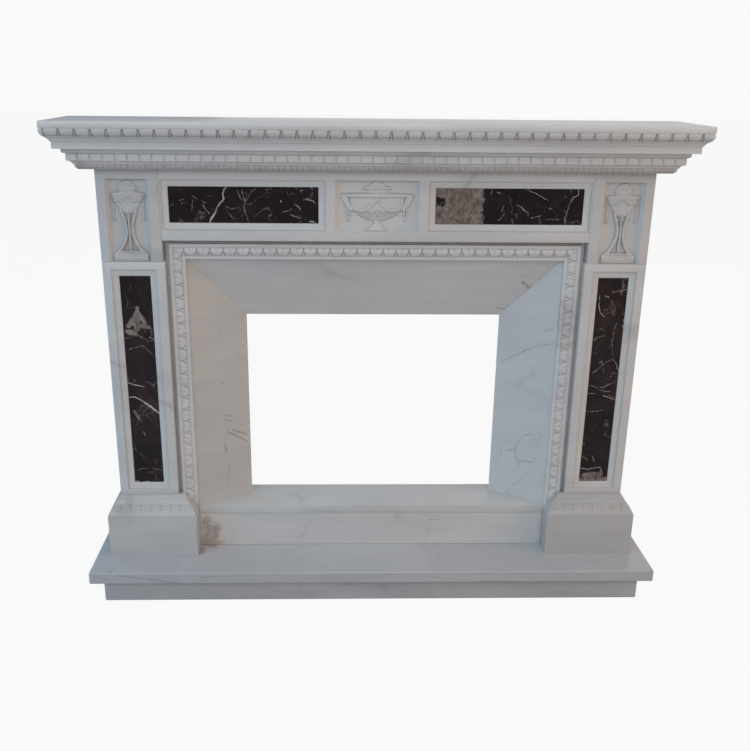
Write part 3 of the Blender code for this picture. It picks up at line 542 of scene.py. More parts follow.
def part_front(bm, xs, zs):
    """Part the front face along upright and level lines."""
    for axis, places in ((0, xs), (2, zs)):
        for at in places:
            normal = Vector((0, 0, 0))
            normal[axis] = 1
            front = [f for f in bm.faces
                     if f.normal.y < -0.9 and abs(f.calc_center_median().y - FACE) < 0.001]
            geom = {*front, *(e for f in front for e in f.edges), *(v for f in front for v in f.verts)}
            bmesh.ops.bisect_plane(bm, geom=list(geom), plane_co=normal * at, plane_no=normal, dist=0.00001)
    bm.normal_update()


def sink_frame(bm, panel):
    """Sink a moulded frame in the front face that covers a panel's place."""
    x0, x1, z0, z1 = panel
    face = front_face_at(bm, (x0 + x1) / 2, (z0 + z1) / 2)
    layer = bm.verts.layers.float.get("hollow") or bm.verts.layers.float.new("hollow")
    inset = depth = 0.0
    for next_inset, next_depth, hollow in FRAME_SHAPE:
        bmesh.ops.inset_individual(bm, faces=[face], thickness=next_inset - inset, depth=depth - next_depth,
                                   use_even_offset=True)
        # Painted shade and dirt: each step's edge is marked with its hollow, so it is darkened.
        for v in face.verts:
            v[layer] = hollow
        inset, depth = next_inset, next_depth


def leg():
    bm = block(LEG_INNER, LEG_OUTER, FACE, WALL, PLINTH_TOP, LEG_TOP - JOINT)
    part_front(bm, LEG_PANEL[:2], LEG_PANEL[2:])
    sink_frame(bm, LEG_PANEL)
    return bm


for side, hand in ((1, "right"), (-1, "left")):
    finish = white_marble(f"{hand} leg marble", 8.3 + side)
    set_stone(f"leg_block_{hand}", handed(leg(), side), finish, f"leg_{hand}")


# The corner blocks: stones on top of the legs, each with a recess. A tripod stand is carved there in low
# relief: a lidded bowl with a wavy swag and two ribbons, three curved legs and a base.

CORNER_INNER = 0.520
FRIEZE_TOP = 1.103
RECESS_HEAD = 1.079
RECESS_DEPTH = 0.011
RECESS_SPLAY = 0.009
CORNER_RECESS = (0.545, 0.647)
RELIEF_CELL = 0.0009
TRIPOD_HIGHEST = 0.0106
CARVED_CREASE = 40.0
TRIPOD_BODY = ((0.0, 0.112), (0.006, 0.1125), (0.0125, 0.115), (0.0180, 0.120), (0.0245, 0.129),
               (0.0300, 0.138),
               (0.0345, 0.148), (0.0365, 0.154), (0.0375, 0.157), (0.041, 0.1585), (0.041, 0.1625),
               (0.0340, 0.1635), (0.0220, 0.1645), (0.0190, 0.166), (0.0185, 0.1695), (0.0235, 0.1705),
               (0.0245, 0.172), (0.0240, 0.174), (0.0205, 0.1755), (0.0195, 0.179), (0.0170, 0.1835),
               (0.0130, 0.1875), (0.0080, 0.1905), (0.0035, 0.1922), (0.0, 0.1928))
TRIPOD_LEG = ((0.0185, 0.124), (0.0150, 0.113), (0.0110, 0.100), (0.0078, 0.088), (0.0066, 0.078),
              (0.0068, 0.068),
              (0.0090, 0.058), (0.0125, 0.048), (0.0168, 0.039), (0.0215, 0.031), (0.0262, 0.0245),
              (0.0330, 0.0185), (0.0410, 0.0120), (0.0480, 0.0060))
TRIPOD_BASE = ((0.0, 0.0), (0.0535, 0.0), (0.0525, 0.003), (0.0460, 0.009), (0.0390, 0.015), (0.0330, 0.021),
               (0.0300, 0.0248), (0.0, 0.0250))
TRIPOD_SWAG = ((-0.0335, 0.1430), (-0.0275, 0.1440), (-0.0210, 0.1475), (-0.0155, 0.1425), (-0.0110, 0.1465),
               (-0.0055, 0.1530), (0.0, 0.1560), (0.0055, 0.1530), (0.0110, 0.1465), (0.0155, 0.1425),
               (0.0210, 0.1475), (0.0275, 0.1440), (0.0335, 0.1430))
TRIPOD_RIBBON = ((0.0385, 0.158), (0.0400, 0.147), (0.0372, 0.136), (0.0350, 0.126), (0.0362, 0.114),
                 (0.0350, 0.100))


def width_at(shape, z):
    """A turned shape's half width at a height, from its (half width, height) points."""
    if not shape[0][1] <= z <= shape[-1][1]:
        return 0.0
    number = min(len(shape) - 1, max(1, bisect.bisect_left([point[1] for point in shape], z)))
    (r0, z0), (r1, z1) = shape[number - 1], shape[number]
    return r0 + (r1 - r0) * (z - z0) / max(z1 - z0, 1e-6)


def rounded(x, half_width, rise, power=0.5):
    """The height of a round-backed form at a distance from its middle line."""
    if half_width < 1e-5 or abs(x) >= half_width:
        return 0.0
    return rise * (1.0 - (x / half_width) ** 2) ** power


def strand(x, z, points, thick, rise, end=None):
    """The height of a rounded strand through points. end is its thickness at the last, if it tapers."""
    here = Vector((x, z))
    best = 0.0
    count = len(points) - 1
    for number, (a, b) in enumerate(zip(points, points[1:])):
        a, b = Vector(a), Vector(b)
        way = b - a
        share = min(1.0, max(0.0, (here - a).dot(way) / max(way.length_squared, 1e-12)))
        width = thick if end is None else thick + (end - thick) * (number + share) / count
        best = max(best, rounded((a + way * share - here).length, width / 2, rise))
    return best


def flipped(points):
    return [(-x, z) for x, z in points]


def tripod(x, z):
    """The tripod stand's height above its ground, by the distance from its middle and from its foot."""
    r = width_at(TRIPOD_BODY, z)
    bowl = rounded(x, r, 0.0038 + 0.075 * r, 0.36)
    if bowl and 0.113 < z < 0.140:
        bowl *= 0.88 + 0.12 * abs(math.cos(7.0 * math.asin(max(-1.0, min(1.0, x / r)))))
    if bowl and z > 0.1755:
        petal = math.asin(max(-1.0, min(1.0, x / r)))
        bowl *= 0.72 + 0.28 * abs(math.cos(4.5 * petal + (1.5708 if z > 0.184 else 0.0))) ** 0.7
    swag = strand(x, z, TRIPOD_SWAG, 0.0054, 0.0026)
    if swag:
        bowl = bowl * 0.95 + swag
    base = 0.0
    half_width = width_at(TRIPOD_BASE[1:-1], z)
    if z < 0.0248 + 0.0012 * math.cos(x * 60.0) and abs(x) < half_width:
        base = 0.0068 * min(1.0, (half_width - abs(x)) / 0.0015 + 0.2) * min(1.0, (0.0262 - z) / 0.0012)
        base -= 0.0010 if 0.0190 < z < 0.0205 or 0.0035 < z < 0.0048 else 0.0
    legs = max(strand(x, z, TRIPOD_LEG, 0.0074, 0.0070, 0.0104),
               strand(x, z, flipped(TRIPOD_LEG), 0.0074, 0.0070, 0.0104))
    legs = max(legs, strand(x, z, ((0.0, 0.116), (0.0, 0.024)), 0.0050, 0.0086, 0.0078))
    ribbon = max(strand(x, z, TRIPOD_RIBBON, 0.0030, 0.0036, 0.0062),
                 strand(x, z, flipped(TRIPOD_RIBBON), 0.0030, 0.0036, 0.0062))
    return min(TRIPOD_HIGHEST, max(bowl, base, legs, ribbon))


def push_in(bm, face, splay):
    """Push a panel's face in to the recess's ground, its two sides splayed."""
    x_middle = face.calc_center_median().x
    ground = bmesh.ops.extrude_discrete_faces(bm, faces=[face])["faces"][0]
    for v in ground.verts:
        v.co.y += RECESS_DEPTH
        v.co.x += splay if v.co.x < x_middle else -splay
    return ground


def carve_ground(bm, ground, relief):
    """Cut a recess's ground into small squares and raise its relief, measured from its middle foot."""
    xs = [v.co.x for v in ground.verts]
    zs = [v.co.z for v in ground.verts]
    x0, x1, z0, z1 = min(xs), max(xs), min(zs), max(zs)
    depth = ground.verts[0].co.y
    across = round((x1 - x0) / RELIEF_CELL)
    up = round((z1 - z0) / RELIEF_CELL)
    rim = list(ground.edges)
    bmesh.ops.delete(bm, geom=[ground], context="FACES_ONLY")
    for edge in rim:
        a, b = (v.co for v in edge.verts)
        parts = across if abs(a.x - b.x) > abs(a.z - b.z) else up
        bmesh.ops.subdivide_edges(bm, edges=[edge], cuts=parts - 1)
    layer = bm.verts.layers.float.get("hollow") or bm.verts.layers.float.new("hollow")
    rises = []
    for row in range(up + 1):
        z = (z1 - z0) * row / up
        rises.append([relief((x1 - x0) * (column / across - 0.5), z) for column in range(across + 1)])
    grid = bmesh.ops.create_grid(bm, x_segments=across, y_segments=up, size=1.0)["verts"]
    for v in grid:
        column, row = round((v.co.x + 1) / 2 * across), round((v.co.y + 1) / 2 * up)
        inside = 0 < column < across and 0 < row < up
        rise = rises[row][column] if inside else 0.0
        near = [rises[min(up, max(0, row + dr))][min(across, max(0, column + dc))]
                for dr, dc in ((2, 0), (-2, 0), (0, 2), (0, -2), (1, 1), (-1, -1), (1, -1), (-1, 1))]
        # Painted shade and dirt: each point's hollow is how far it lies below its neighbours, so the ground
        # and the creases round the relief are darkened.
        v[layer] = min(1.0, max(0.0, (sum(near) / 8 - rises[row][column]) / 0.0008))
        v.co = (x0 + (x1 - x0) * column / across, depth - rise, z0 + (z1 - z0) * row / up)
    bmesh.ops.remove_doubles(bm, verts=bm.verts, dist=0.00003)


def corner_block():
    bm = block(CORNER_INNER, LEG_OUTER, FACE, WALL, LEG_TOP, FRIEZE_TOP - JOINT)
    foot = LEG_TOP + ARRIS + 0.0001
    part_front(bm, CORNER_RECESS, (foot, RECESS_HEAD))
    middle = (sum(CORNER_RECESS) / 2, (foot + RECESS_HEAD) / 2)
    ground = push_in(bm, front_face_at(bm, *middle), RECESS_SPLAY)
    carve_ground(bm, ground, tripod)
    return bm


for side, hand in ((1, "right"), (-1, "left")):
    # Painted shade: the corner blocks are made a little darker, and their hollows round the tripods darkened
    # strongly.
    finish = white_marble(f"{hand} corner marble", 11.6 + side, 0.95, dust=0.70)
    set_stone(f"tripod_block_{hand}", handed(corner_block(), side), finish, f"corner_block_{hand}",
              CARVED_CREASE)


# The frieze: the long stone between the corner blocks, carved in one piece. It has a framed panel on each
# side, like those of the legs, and a tablet in the middle with a lidded urn, its swags, handles and ribbons.

FRIEZE_FOOT = 0.934
PANEL_FOOT = 0.959
TABLET_HALF = 0.102
URN_HIGHEST = 0.0107
FRIEZE_PANEL = (0.124, 0.5167, PANEL_FOOT, RECESS_HEAD)
URN_BODY = ((0.0, 0.0), (0.0275, 0.0002), (0.0275, 0.0055), (0.0215, 0.0068), (0.0160, 0.0090),
            (0.0115, 0.0130),
            (0.0085, 0.0175), (0.0080, 0.0205), (0.0105, 0.0215), (0.0105, 0.0235), (0.0200, 0.0260),
            (0.0300, 0.0300), (0.0400, 0.0345), (0.0490, 0.0395), (0.0560, 0.0450), (0.0600, 0.0500),
            (0.0620, 0.0560), (0.0635, 0.0640), (0.0645, 0.0730), (0.0650, 0.0795), (0.0700, 0.0805),
            (0.0840, 0.0812), (0.0870, 0.0830), (0.0870, 0.0870), (0.0700, 0.0882), (0.0330, 0.0892),
            (0.0270, 0.0905), (0.0250, 0.0940), (0.0250, 0.0985), (0.0330, 0.0995), (0.0345, 0.1010),
            (0.0345, 0.1035), (0.0300, 0.1050), (0.0210, 0.1062), (0.0190, 0.1090), (0.0150, 0.1125),
            (0.0092, 0.1142), (0.0088, 0.1165), (0.0060, 0.1180), (0.0, 0.1188))
URN_SWAG = ((0.0635, 0.0795), (0.0620, 0.0680), (0.0580, 0.0585), (0.0510, 0.0515), (0.0420, 0.0480),
            (0.0330, 0.0480), (0.0240, 0.0525), (0.0150, 0.0595), (0.0060, 0.0680), (0.0, 0.0740),
            (-0.0045, 0.0800))
URN_HANDLE = ((0.0800, 0.0870), (0.0775, 0.0780), (0.0740, 0.0690), (0.0692, 0.0600), (0.0620, 0.0515))
URN_RIBBONS = (((0.0700, 0.0540), (0.0725, 0.0450), (0.0715, 0.0350), (0.0690, 0.0250)),
               ((0.0700, 0.0540), (0.0660, 0.0450), (0.0655, 0.0380)))


def urn(x, z):
    """The urn's height above its ground, by the distance from its middle and from its foot."""
    r = width_at(URN_BODY, z)
    body = rounded(x, r, 0.0038 + 0.058 * r, 0.34)
    if body:
        turn = math.asin(max(-1.0, min(1.0, x / r)))
        if 0.0225 < z < 0.0490:
            fade = min(1.0, (z - 0.0225) / 0.003, (0.0490 - z) / 0.003)
            if abs(x) < 0.0150:
                place = math.hypot(x, (z - 0.036) / 1.5) / 0.0050
            else:
                place = (abs(x) - 0.9 * (z - 0.036)) / 0.0060
            body *= 1.0 - 0.50 * fade * (1.0 - abs(math.cos(math.pi * place)) ** 0.6)
        elif 0.0520 < z < 0.0785:
            body = body * 0.90 - 0.00022 * (1.0 + math.cos(30.0 * turn))
        elif 0.0905 < z < 0.0990 or 0.1050 < z < 0.1130:
            body *= 0.84 + 0.16 * abs(math.cos(7.0 * turn))
        elif 0.0990 < z < 0.1050 or z > 0.0805:
            body = min(0.0100, body * 1.12)
    left = strand(abs(x), z, URN_SWAG[:9], 0.0070, 0.0024)
    cross = max(strand(x, z, URN_SWAG[8:], 0.0056, 0.0034), strand(-x, z, URN_SWAG[8:], 0.0056, 0.0030))
    knot = rounded(math.hypot(x, z - 0.0740), 0.0050, 0.0040)
    body += max(left, cross, knot)
    handle = strand(abs(x), z, URN_HANDLE, 0.0190, 0.0056, 0.0120)
    handle *= min(1.0, max(0.0, (0.0880 - z) / 0.0012))
    ribbons = max(strand(abs(x), z, points, 0.0040, 0.0034, 0.0058) for points in URN_RIBBONS)
    return min(URN_HIGHEST, max(body, handle, ribbons))


def frieze():
    end = CORNER_INNER - JOINT
    bm = block(-end, end, FACE, WALL, FRIEZE_FOOT, FRIEZE_TOP - JOINT)
    inner, outer, foot, head = FRIEZE_PANEL
    part_front(bm, (-outer, -inner, -TABLET_HALF, TABLET_HALF, inner, outer), (foot, head))
    sink_frame(bm, FRIEZE_PANEL)
    sink_frame(bm, (-outer, -inner, foot, head))
    ground = push_in(bm, front_face_at(bm, 0.0, (foot + head) / 2), RECESS_SPLAY)
    carve_ground(bm, ground, urn)
    return bm


# Painted light and shade: the frieze is made a little lighter, and the hollows round its urn and frames are
# darkened strongly.
finish = white_marble("frieze marble", 14.2, 1.03, dust=0.65)
set_stone("frieze_stone", frieze(), finish, "frieze", CARVED_CREASE)


# The dark slabs: polished near-black marble with white and beige veins, sawn thin and glued into the pockets
# of the four frames. Each slab has its own veins, and three have pale patches where the block was lighter.

SLAB_FACE = -0.0100
SLAB_BACK = -0.0010
SLAB_EDGE = 0.0173
SLAB_CELL = 0.0018
SLAB_ARRIS = 0.0004
SLAB_STRAY = 0.0012
SLAB_FINEST = 0.0013
VEIN_RUN = 0.005


def dark_marble(name, seed):
    """Polished dark marble: brown-black ground, broken hair veins, bold drawn veins and pale patches."""
    finish = Finish(name)
    where = finish.place(seed, (0.3, 0.2, 0.4))
    cloud = finish.ramp(finish.clouds(where, 16.0, 5.0, 0.65, 0.6), 0.40, 0.72)
    colour = finish.mix(cloud, (0.0100, 0.0055, 0.0080, 1), (0.024, 0.013, 0.015, 1))
    rust = finish.ramp(finish.clouds(where, 9.0, 4.0, 0.6, 0.5), 0.56, 0.76)
    colour = finish.mix(rust * 0.55, colour, (0.070, 0.030, 0.028, 1))
    ragged = finish.clouds(where, 95.0, 5.0, 0.65) - 0.5
    spot = finish.drawn("spot", ragged * 1.0, 0.0, 0.3)
    patch = finish.drawn("patch", ragged * 1.4, 0.0, 0.30) * (1.0 - spot)
    patch = patch * finish.ramp(finish.clouds(where, 85.0, 4.0, 0.7), 0.36, 0.54, 0.62, 1.0)
    streaks = finish.clouds(finish.place(seed, (0.0, 0.8, 0.0), (1.0, 1.0, 0.22)), 150.0, 5.0, 0.7, 0.5)
    flecked = finish.ramp(finish.clouds(where, 38.0, 6.0, 0.7, 0.8) * 0.6 + streaks * 0.4, 0.36, 0.64)
    pale = finish.mix(flecked, (0.13, 0.098, 0.080, 1), (0.36, 0.295, 0.265, 1))
    colour = finish.mix(patch * 0.94, colour, pale)
    ground = 1.0 - patch
    bent = finish.warp(where, 22.0, 0.035)
    kept = finish.ramp(finish.clouds(where, 17.0, 4.0, 0.6), 0.50, 0.60)
    hair = finish.ridge(bent, 15.0, 0.014) * kept
    wisps = finish.ridge(finish.warp(where, 60.0, 0.012), 46.0, 0.030)
    wisps = wisps * finish.ramp(finish.clouds(where, 24.0, 4.0, 0.65), 0.53, 0.64)
    specks = finish.ramp(finish.clouds(where, 150.0, 4.0, 0.7), 0.63, 0.70)
    specks = specks * finish.ramp(finish.clouds(where, 14.0, 3.0, 0.6), 0.50, 0.62)
    colour = finish.mix(hair * ground * 0.42, colour, (0.34, 0.28, 0.26, 1))
    colour = finish.mix(wisps * ground * 0.34, colour, (0.28, 0.21, 0.19, 1))
    colour = finish.mix(specks * ground * 0.35, colour, (0.40, 0.34, 0.32, 1))
    brown = finish.drawn("stain", ragged * 2.2, -0.2, 0.9)
    brown = brown * finish.ramp(streaks, 0.42, 0.60, 0.15, 1.0)
    colour = finish.mix(brown * 0.65, colour, (0.20, 0.125, 0.095, 1))
    halo = finish.drawn("vein", ragged * 2.0, -0.7, 0.8)
    colour = finish.mix(halo * 0.16, colour, (0.30, 0.22, 0.20, 1))
    drawn = finish.drawn("vein", ragged * 1.1, 0.0, 0.95)
    drawn = drawn * finish.ramp(finish.clouds(where, 70.0, 3.0), 0.25, 0.5, 0.55, 1.0)
    colour = finish.mix(drawn * 0.95, colour, (0.70, 0.665, 0.655, 1))
    finish.feed(finish.shader.inputs["Base Color"], colour)
    rough = 0.20 + drawn * 0.12 + patch * 0.16 + (finish.clouds(where, 300.0, 2.0) - 0.5) * 0.08
    finish.feed(finish.shader.inputs["Roughness"], rough)
    pits = finish.ramp(finish.clouds(where, 240.0, 2.0), 0.66, 0.74, 0.0, -1.0) + drawn * 0.3
    bump = finish.node("ShaderNodeBump", {}, {"Strength": 0.15, "Distance": 0.0005, "Height": pits})
    finish.feed(finish.shader.inputs["Normal"], bump)
    finish.shader.inputs["IOR"].default_value = 1.5
    return finish.material


def natural(lines, stray, rng):
    """Drawn lines as short runs that stray a little to each side and thin out towards the ends."""
    runs = []
    for width, points in lines:
        path = [Vector(points[0])]
        for a, b in zip(map(Vector, points), map(Vector, points[1:])):
            count = max(1, round((b - a).length / VEIN_RUN))
            across = (b - a).cross(Vector((0, 1, 0))).normalized()
            path += [a.lerp(b, step / count) + across * (rng.uniform(-stray, stray) if step < count else 0.0)
                     for step in range(1, count + 1)]
        for step, (a, b) in enumerate(zip(path, path[1:])):
            thin = 0.6 + 0.4 * math.sin(math.pi * (step + 0.5) / (len(path) - 1))
            runs.append((width * thin, (a, b)))
    return runs


def dark_slab(panel, marks, rng):
    """A slab with its marks drawn in. Their widths are in millimetres, their points shares of its face."""
    x0, x1, z0, z1 = panel
    x0, x1, z0, z1 = x0 + SLAB_EDGE, x1 - SLAB_EDGE, z0 + SLAB_EDGE, z1 - SLAB_EDGE
    bm = block(x0, x1, SLAB_FACE, SLAB_BACK, z0, z1, SLAB_ARRIS, 1)
    cut_up(bm, 0, SLAB_CELL)
    cut_up(bm, 2, SLAB_CELL)
    for name, lines in marks.items():
        runs = [(width / 1000, [(x0 + (x1 - x0) * s, SLAB_FACE, z0 + (z1 - z0) * t) for s, t in points])
                for width, points in lines]
        if name in ("vein", "stain"):
            runs = natural(runs, SLAB_STRAY, rng)
        draw_lines(bm, name, runs, SLAB_FINEST)
    return bm


def left(panel):
    """The panel's place on the left side of the mantel."""
    return (-panel[1], -panel[0], panel[2], panel[3])


FRIEZE_LEFT_MARKS = {
    "vein": (
        (2.2, ((0.39, 1.01), (0.37, 0.92), (0.365, 0.83), (0.37, 0.67), (0.34, 0.54), (0.32, 0.41),
               (0.31, 0.30))),
        (3.4, ((0.31, 0.30), (0.29, 0.17), (0.275, 0.07), (0.27, -0.01))),
        (1.2, ((0.59, 1.01), (0.58, 0.94), (0.55, 0.86))), (0.8, ((0.55, 0.86), (0.54, 0.78), (0.51, 0.59))),
        (0.7, ((0.51, 0.59), (0.50, 0.43), (0.51, 0.31), (0.52, 0.19), (0.53, 0.0))),
        (1.0, ((0.49, 0.90), (0.50, 0.71), (0.51, 0.60))), (0.7, ((0.46, 0.90), (0.47, 0.80), (0.49, 0.64))),
        (1.0, ((0.22, 0.61), (0.25, 0.55))), (1.2, ((0.23, 0.52), (0.24, 0.40))),
        (0.9, ((0.24, 0.38), (0.27, 0.25))),
        (0.7, ((0.16, 0.75), (0.19, 0.66))), (0.6, ((0.16, 0.66), (0.15, 0.31))),
        (1.1, ((0.09, 0.55), (0.09, 0.53))),
        (0.9, ((0.07, 0.60), (0.10, 0.65))), (0.6, ((0.01, 0.46), (0.03, 0.52))),
        (1.4, ((0.75, 0.63), (0.75, 0.59))),
        (0.9, ((0.88, 0.90), (0.90, 0.92))), (1.5, ((0.95, 1.0), (0.96, 0.92))),
        (1.2, ((0.90, 0.65), (0.93, 0.67), (0.96, 0.63), (0.98, 0.55))),
        (1.3, ((0.84, 0.53), (0.87, 0.45), (0.88, 0.38))), (0.9, ((0.76, 0.31), (0.79, 0.34), (0.82, 0.40))),
        (2.0, ((0.94, 0.05), (0.98, 0.03))), (0.8, ((0.81, 0.24), (0.87, 0.14))),
        (0.8, ((0.38, 0.47), (0.42, 0.38), (0.44, 0.41))),
        (0.6, ((0.38, 0.38), (0.41, 0.21), (0.44, 0.09)))),
    "stain": ((7.0, ((0.17, 0.0), (0.19, 0.21), (0.21, 0.28), (0.22, 0.17))),
              (6.0, ((0.96, 0.83), (0.93, 0.64))),
              (5.0, ((0.86, 0.19), (0.91, 0.12)))),
}
FRIEZE_RIGHT_MARKS = {
    "vein": (
        (1.3, ((0.55, 0.55), (0.58, 0.50), (0.60, 0.41), (0.63, 0.33), (0.63, 0.21))),
        (0.9, ((0.65, 0.20), (0.70, 0.23), (0.72, 0.27))), (0.8, ((0.75, 0.15), (0.84, 0.15))),
        (0.8, ((0.61, 0.98), (0.65, 0.91), (0.69, 0.83), (0.76, 0.68))), (1.1, ((0.46, 0.52), (0.45, 0.35))),
        (1.0, ((0.47, 0.30), (0.44, 0.14), (0.42, 0.11))),
        (1.5, ((0.96, 0.97), (0.96, 0.83), (0.93, 0.78), (0.91, 0.63))),
        (1.2, ((0.91, 0.63), (0.90, 0.49), (0.89, 0.32), (0.88, 0.18), (0.89, 0.0))),
        (0.9, ((0.87, 0.78), (0.88, 0.80))),
        (0.8, ((0.91, 0.95), (0.91, 0.85))), (0.7, ((0.38, 0.99), (0.37, 0.85))),
        (0.7, ((0.41, 0.90), (0.44, 0.85))),
        (1.0, ((0.77, 0.46), (0.79, 0.45))), (0.7, ((0.71, 0.17), (0.72, 0.0))),
        (0.7, ((0.52, 0.16), (0.53, 0.04)))),
    "patch": tuple((22.0, ((0.055 * n - 0.005, -0.05), (0.055 * n - 0.005, 1.05))) for n in range(6)),
    "spot": ((12.0, ((-0.02, 0.66), (0.040, 0.62))),),
}
LEG_LEFT_MARKS = {
    "vein": (
        (1.8, ((-0.02, 0.50), (0.28, 0.49), (0.58, 0.48))),
        (2.0, ((-0.02, 0.43), (0.24, 0.43), (0.47, 0.41))),
        (3.4, ((0.47, 0.41), (0.66, 0.39), (0.82, 0.37), (1.0, 0.35))),
        (0.9, ((0.10, 0.06), (0.32, 0.07), (0.49, 0.07))),
        (0.8, ((0.66, 0.07), (0.96, 0.06))), (0.8, ((0.0, 0.71), (0.27, 0.72))),
        (0.6, ((0.11, 0.66), (0.58, 0.68), (0.83, 0.65))),
        (0.8, ((0.39, 0.26), (0.48, 0.24))), (1.0, ((0.84, 0.72), (0.96, 0.71))),
        (2.2, ((0.01, 0.0), (0.11, 0.004))),
        (1.8, ((0.28, 0.0), (0.52, 0.003)))),
    "patch": ((7.0, ((0.48, 0.83), (0.18, 0.77))), (8.0, ((0.50, 0.81), (0.44, 0.755))),
              (7.0, ((0.52, 0.83), (0.72, 0.785))),
              (5.0, ((0.50, 0.855), (0.50, 0.82))), (8.0, ((0.14, 0.745), (0.36, 0.735))),
              (6.0, ((0.60, 0.77), (0.82, 0.765))),
              (6.0, ((0.30, 0.78), (0.62, 0.77))), (4.5, ((0.16, 0.36), (0.29, 0.325)))),
    "stain": ((4.0, ((0.48, 0.05), (0.65, 0.05))), (5.0, ((0.92, 0.76), (0.96, 0.70)))),
}
LEG_RIGHT_MARKS = {
    "vein": (
        (1.4, ((0.10, 0.92), (0.10, 0.88), (0.16, 0.84), (0.34, 0.82))), (1.0, ((0.27, 0.92), (0.42, 0.91))),
        (1.0, ((0.80, 0.94), (0.97, 0.95))), (1.0, ((0.98, 0.81), (0.98, 0.80))),
        (1.0, ((0.98, 0.78), (0.98, 0.77))),
        (0.9, ((0.30, 0.71), (0.31, 0.71))), (0.9, ((0.15, 0.67), (0.16, 0.67))),
        (0.7, ((0.77, 0.79), (0.70, 0.76), (0.67, 0.70), (0.75, 0.64))),
        (0.9, ((0.28, 0.60), (0.37, 0.61), (0.46, 0.59), (0.35, 0.59))),
        (0.9, ((0.46, 0.60), (0.76, 0.62), (0.88, 0.60), (0.99, 0.56))),
        (1.0, ((0.11, 0.55), (0.27, 0.57), (0.34, 0.58))),
        (1.0, ((0.02, 0.49), (0.33, 0.48), (0.50, 0.48), (0.96, 0.51))), (0.8, ((0.02, 0.45), (0.32, 0.45))),
        (0.8, ((0.35, 0.47), (0.62, 0.46), (0.80, 0.46))), (1.4, ((0.54, 0.44), (0.75, 0.43), (1.01, 0.42))),
        (0.9, ((0.05, 0.36), (0.36, 0.36), (0.59, 0.37))), (0.9, ((0.05, 0.13), (0.24, 0.11))),
        (0.9, ((0.40, 0.13), (0.47, 0.10))),
        (1.5, ((0.02, 0.07), (0.25, 0.06), (0.52, 0.07), (0.73, 0.07), (0.79, 0.05)))),
    "patch": ((12.0, ((0.05, 0.0), (0.95, 0.005))), (9.0, ((0.20, 0.03), (0.75, 0.035)))),
    "stain": ((8.0, ((0.52, 0.89), (0.64, 0.83))), (5.0, ((0.74, 0.44), (0.92, 0.43)))),
}
for number, (name, panel, marks) in enumerate((
    ("leg_inlay_left", left(LEG_PANEL), LEG_LEFT_MARKS), ("leg_inlay_right", LEG_PANEL, LEG_RIGHT_MARKS),
    ("frieze_inlay_left", left(FRIEZE_PANEL), FRIEZE_LEFT_MARKS),
    ("frieze_inlay_right", FRIEZE_PANEL, FRIEZE_RIGHT_MARKS),
)):
    finish = dark_marble(name.replace("_", " "), 20.0 + 1.7 * number)
    set_stone(f"{name}_slab", dark_slab(panel, marks, random.Random(number)), finish, name)


# The inner moulding: three strips of white marble round the opening, mitred at the top corners. Each has a
# fillet at its edges and a row of carved leaves with paired darts between, and a deep groove outside it.

MOULDING_WIDTH = 0.038
MOULDING_LEAF = 0.0325
MOULDING_BACK = SLIP_FRONT - JOINT
# The reddish brown of the strips' darts and groove: painted shade in the deep groove and the darts, with
# dirt.
GROOVE_DUST_AND_SHADE = (0.37, 0.31, 0.285)
CLEAR_TOP = 0.886
GROOVE = 0.010
GROOVE_DEPTH = 0.013


def moulding_outline():
    """The strip's closed outline: (distance out, depth, place in the carved band or None) a point."""
    w = MOULDING_WIDTH
    outline = [(0.0, MOULDING_BACK, None), (0.0, MOULDING_FRONT + 0.0064, None),
               (0.0005, MOULDING_FRONT + 0.0058, None), (w * 0.20, MOULDING_FRONT + 0.0050, None),
               (w * 0.22, MOULDING_FRONT + 0.0066, None)]
    steps = 14
    for n in range(steps + 1):
        share = n / steps
        bulge = math.sin(math.pi * (0.12 + 0.70 * share))
        outline.append((w * (0.24 + 0.53 * share), MOULDING_FRONT + 0.0072 - 0.0068 * bulge, share))
    reach = w + GROOVE - JOINT
    outline += [(w * 0.785, MOULDING_FRONT + 0.0035, None), (w * 0.79, MOULDING_FRONT + 0.0004, None),
                (w * 0.80, MOULDING_FRONT, None), (w - 0.0006, MOULDING_FRONT, None),
                (w, MOULDING_FRONT + 0.0006, None), (w, MOULDING_FRONT + GROOVE_DEPTH, None),
                (reach, MOULDING_FRONT + GROOVE_DEPTH, None), (reach, MOULDING_BACK, None)]
    return outline + outline[:1]


def moulding_leaf(along, up):
    """A broad flat leaf with an arched foot, a short nick in its head, and a forked dart to the next."""
    count = along / MOULDING_LEAF
    u = count % 1.0 - 0.5 + 0.035 * math.sin(12.9898 * math.floor(count))
    edge = 0.5 - abs(u)
    fork = max(0.0, 0.58 - up) * 0.30
    dart = math.exp(-((edge - fork) / (0.036 + 0.026 * max(0.0, min(1.0, (up - 0.5) / 0.3)))) ** 2)
    dart *= min(1.0, (1.0 - up) / 0.14)
    nick = 0.40 * math.exp(-(u / 0.036) ** 2) * max(0.0, min(1.0, (up - 0.45) / 0.15))
    foot = 0.14 * max(0.0, min(1.0, (0.05 + 1.0 * u * u - up) / 0.06))
    lobe = 0.12 * (1.0 - math.cos(6.2832 * 3.0 * (u + 0.5))) * 0.5 * max(0.0, min(1.0, (up - 0.12) / 0.20))
    sink = min(1.0, dart + nick + foot + lobe)
    sink *= max(0.0, min(1.0, up / 0.05, (1.0 - up) / 0.08))
    # Painted shade: the whole leaf row is a little darkened, the darts and nicks much more.
    return 0.0036 * sink, min(1.0, 1.3 * max(0.0, max(dart, nick) - 0.20) + 0.12)


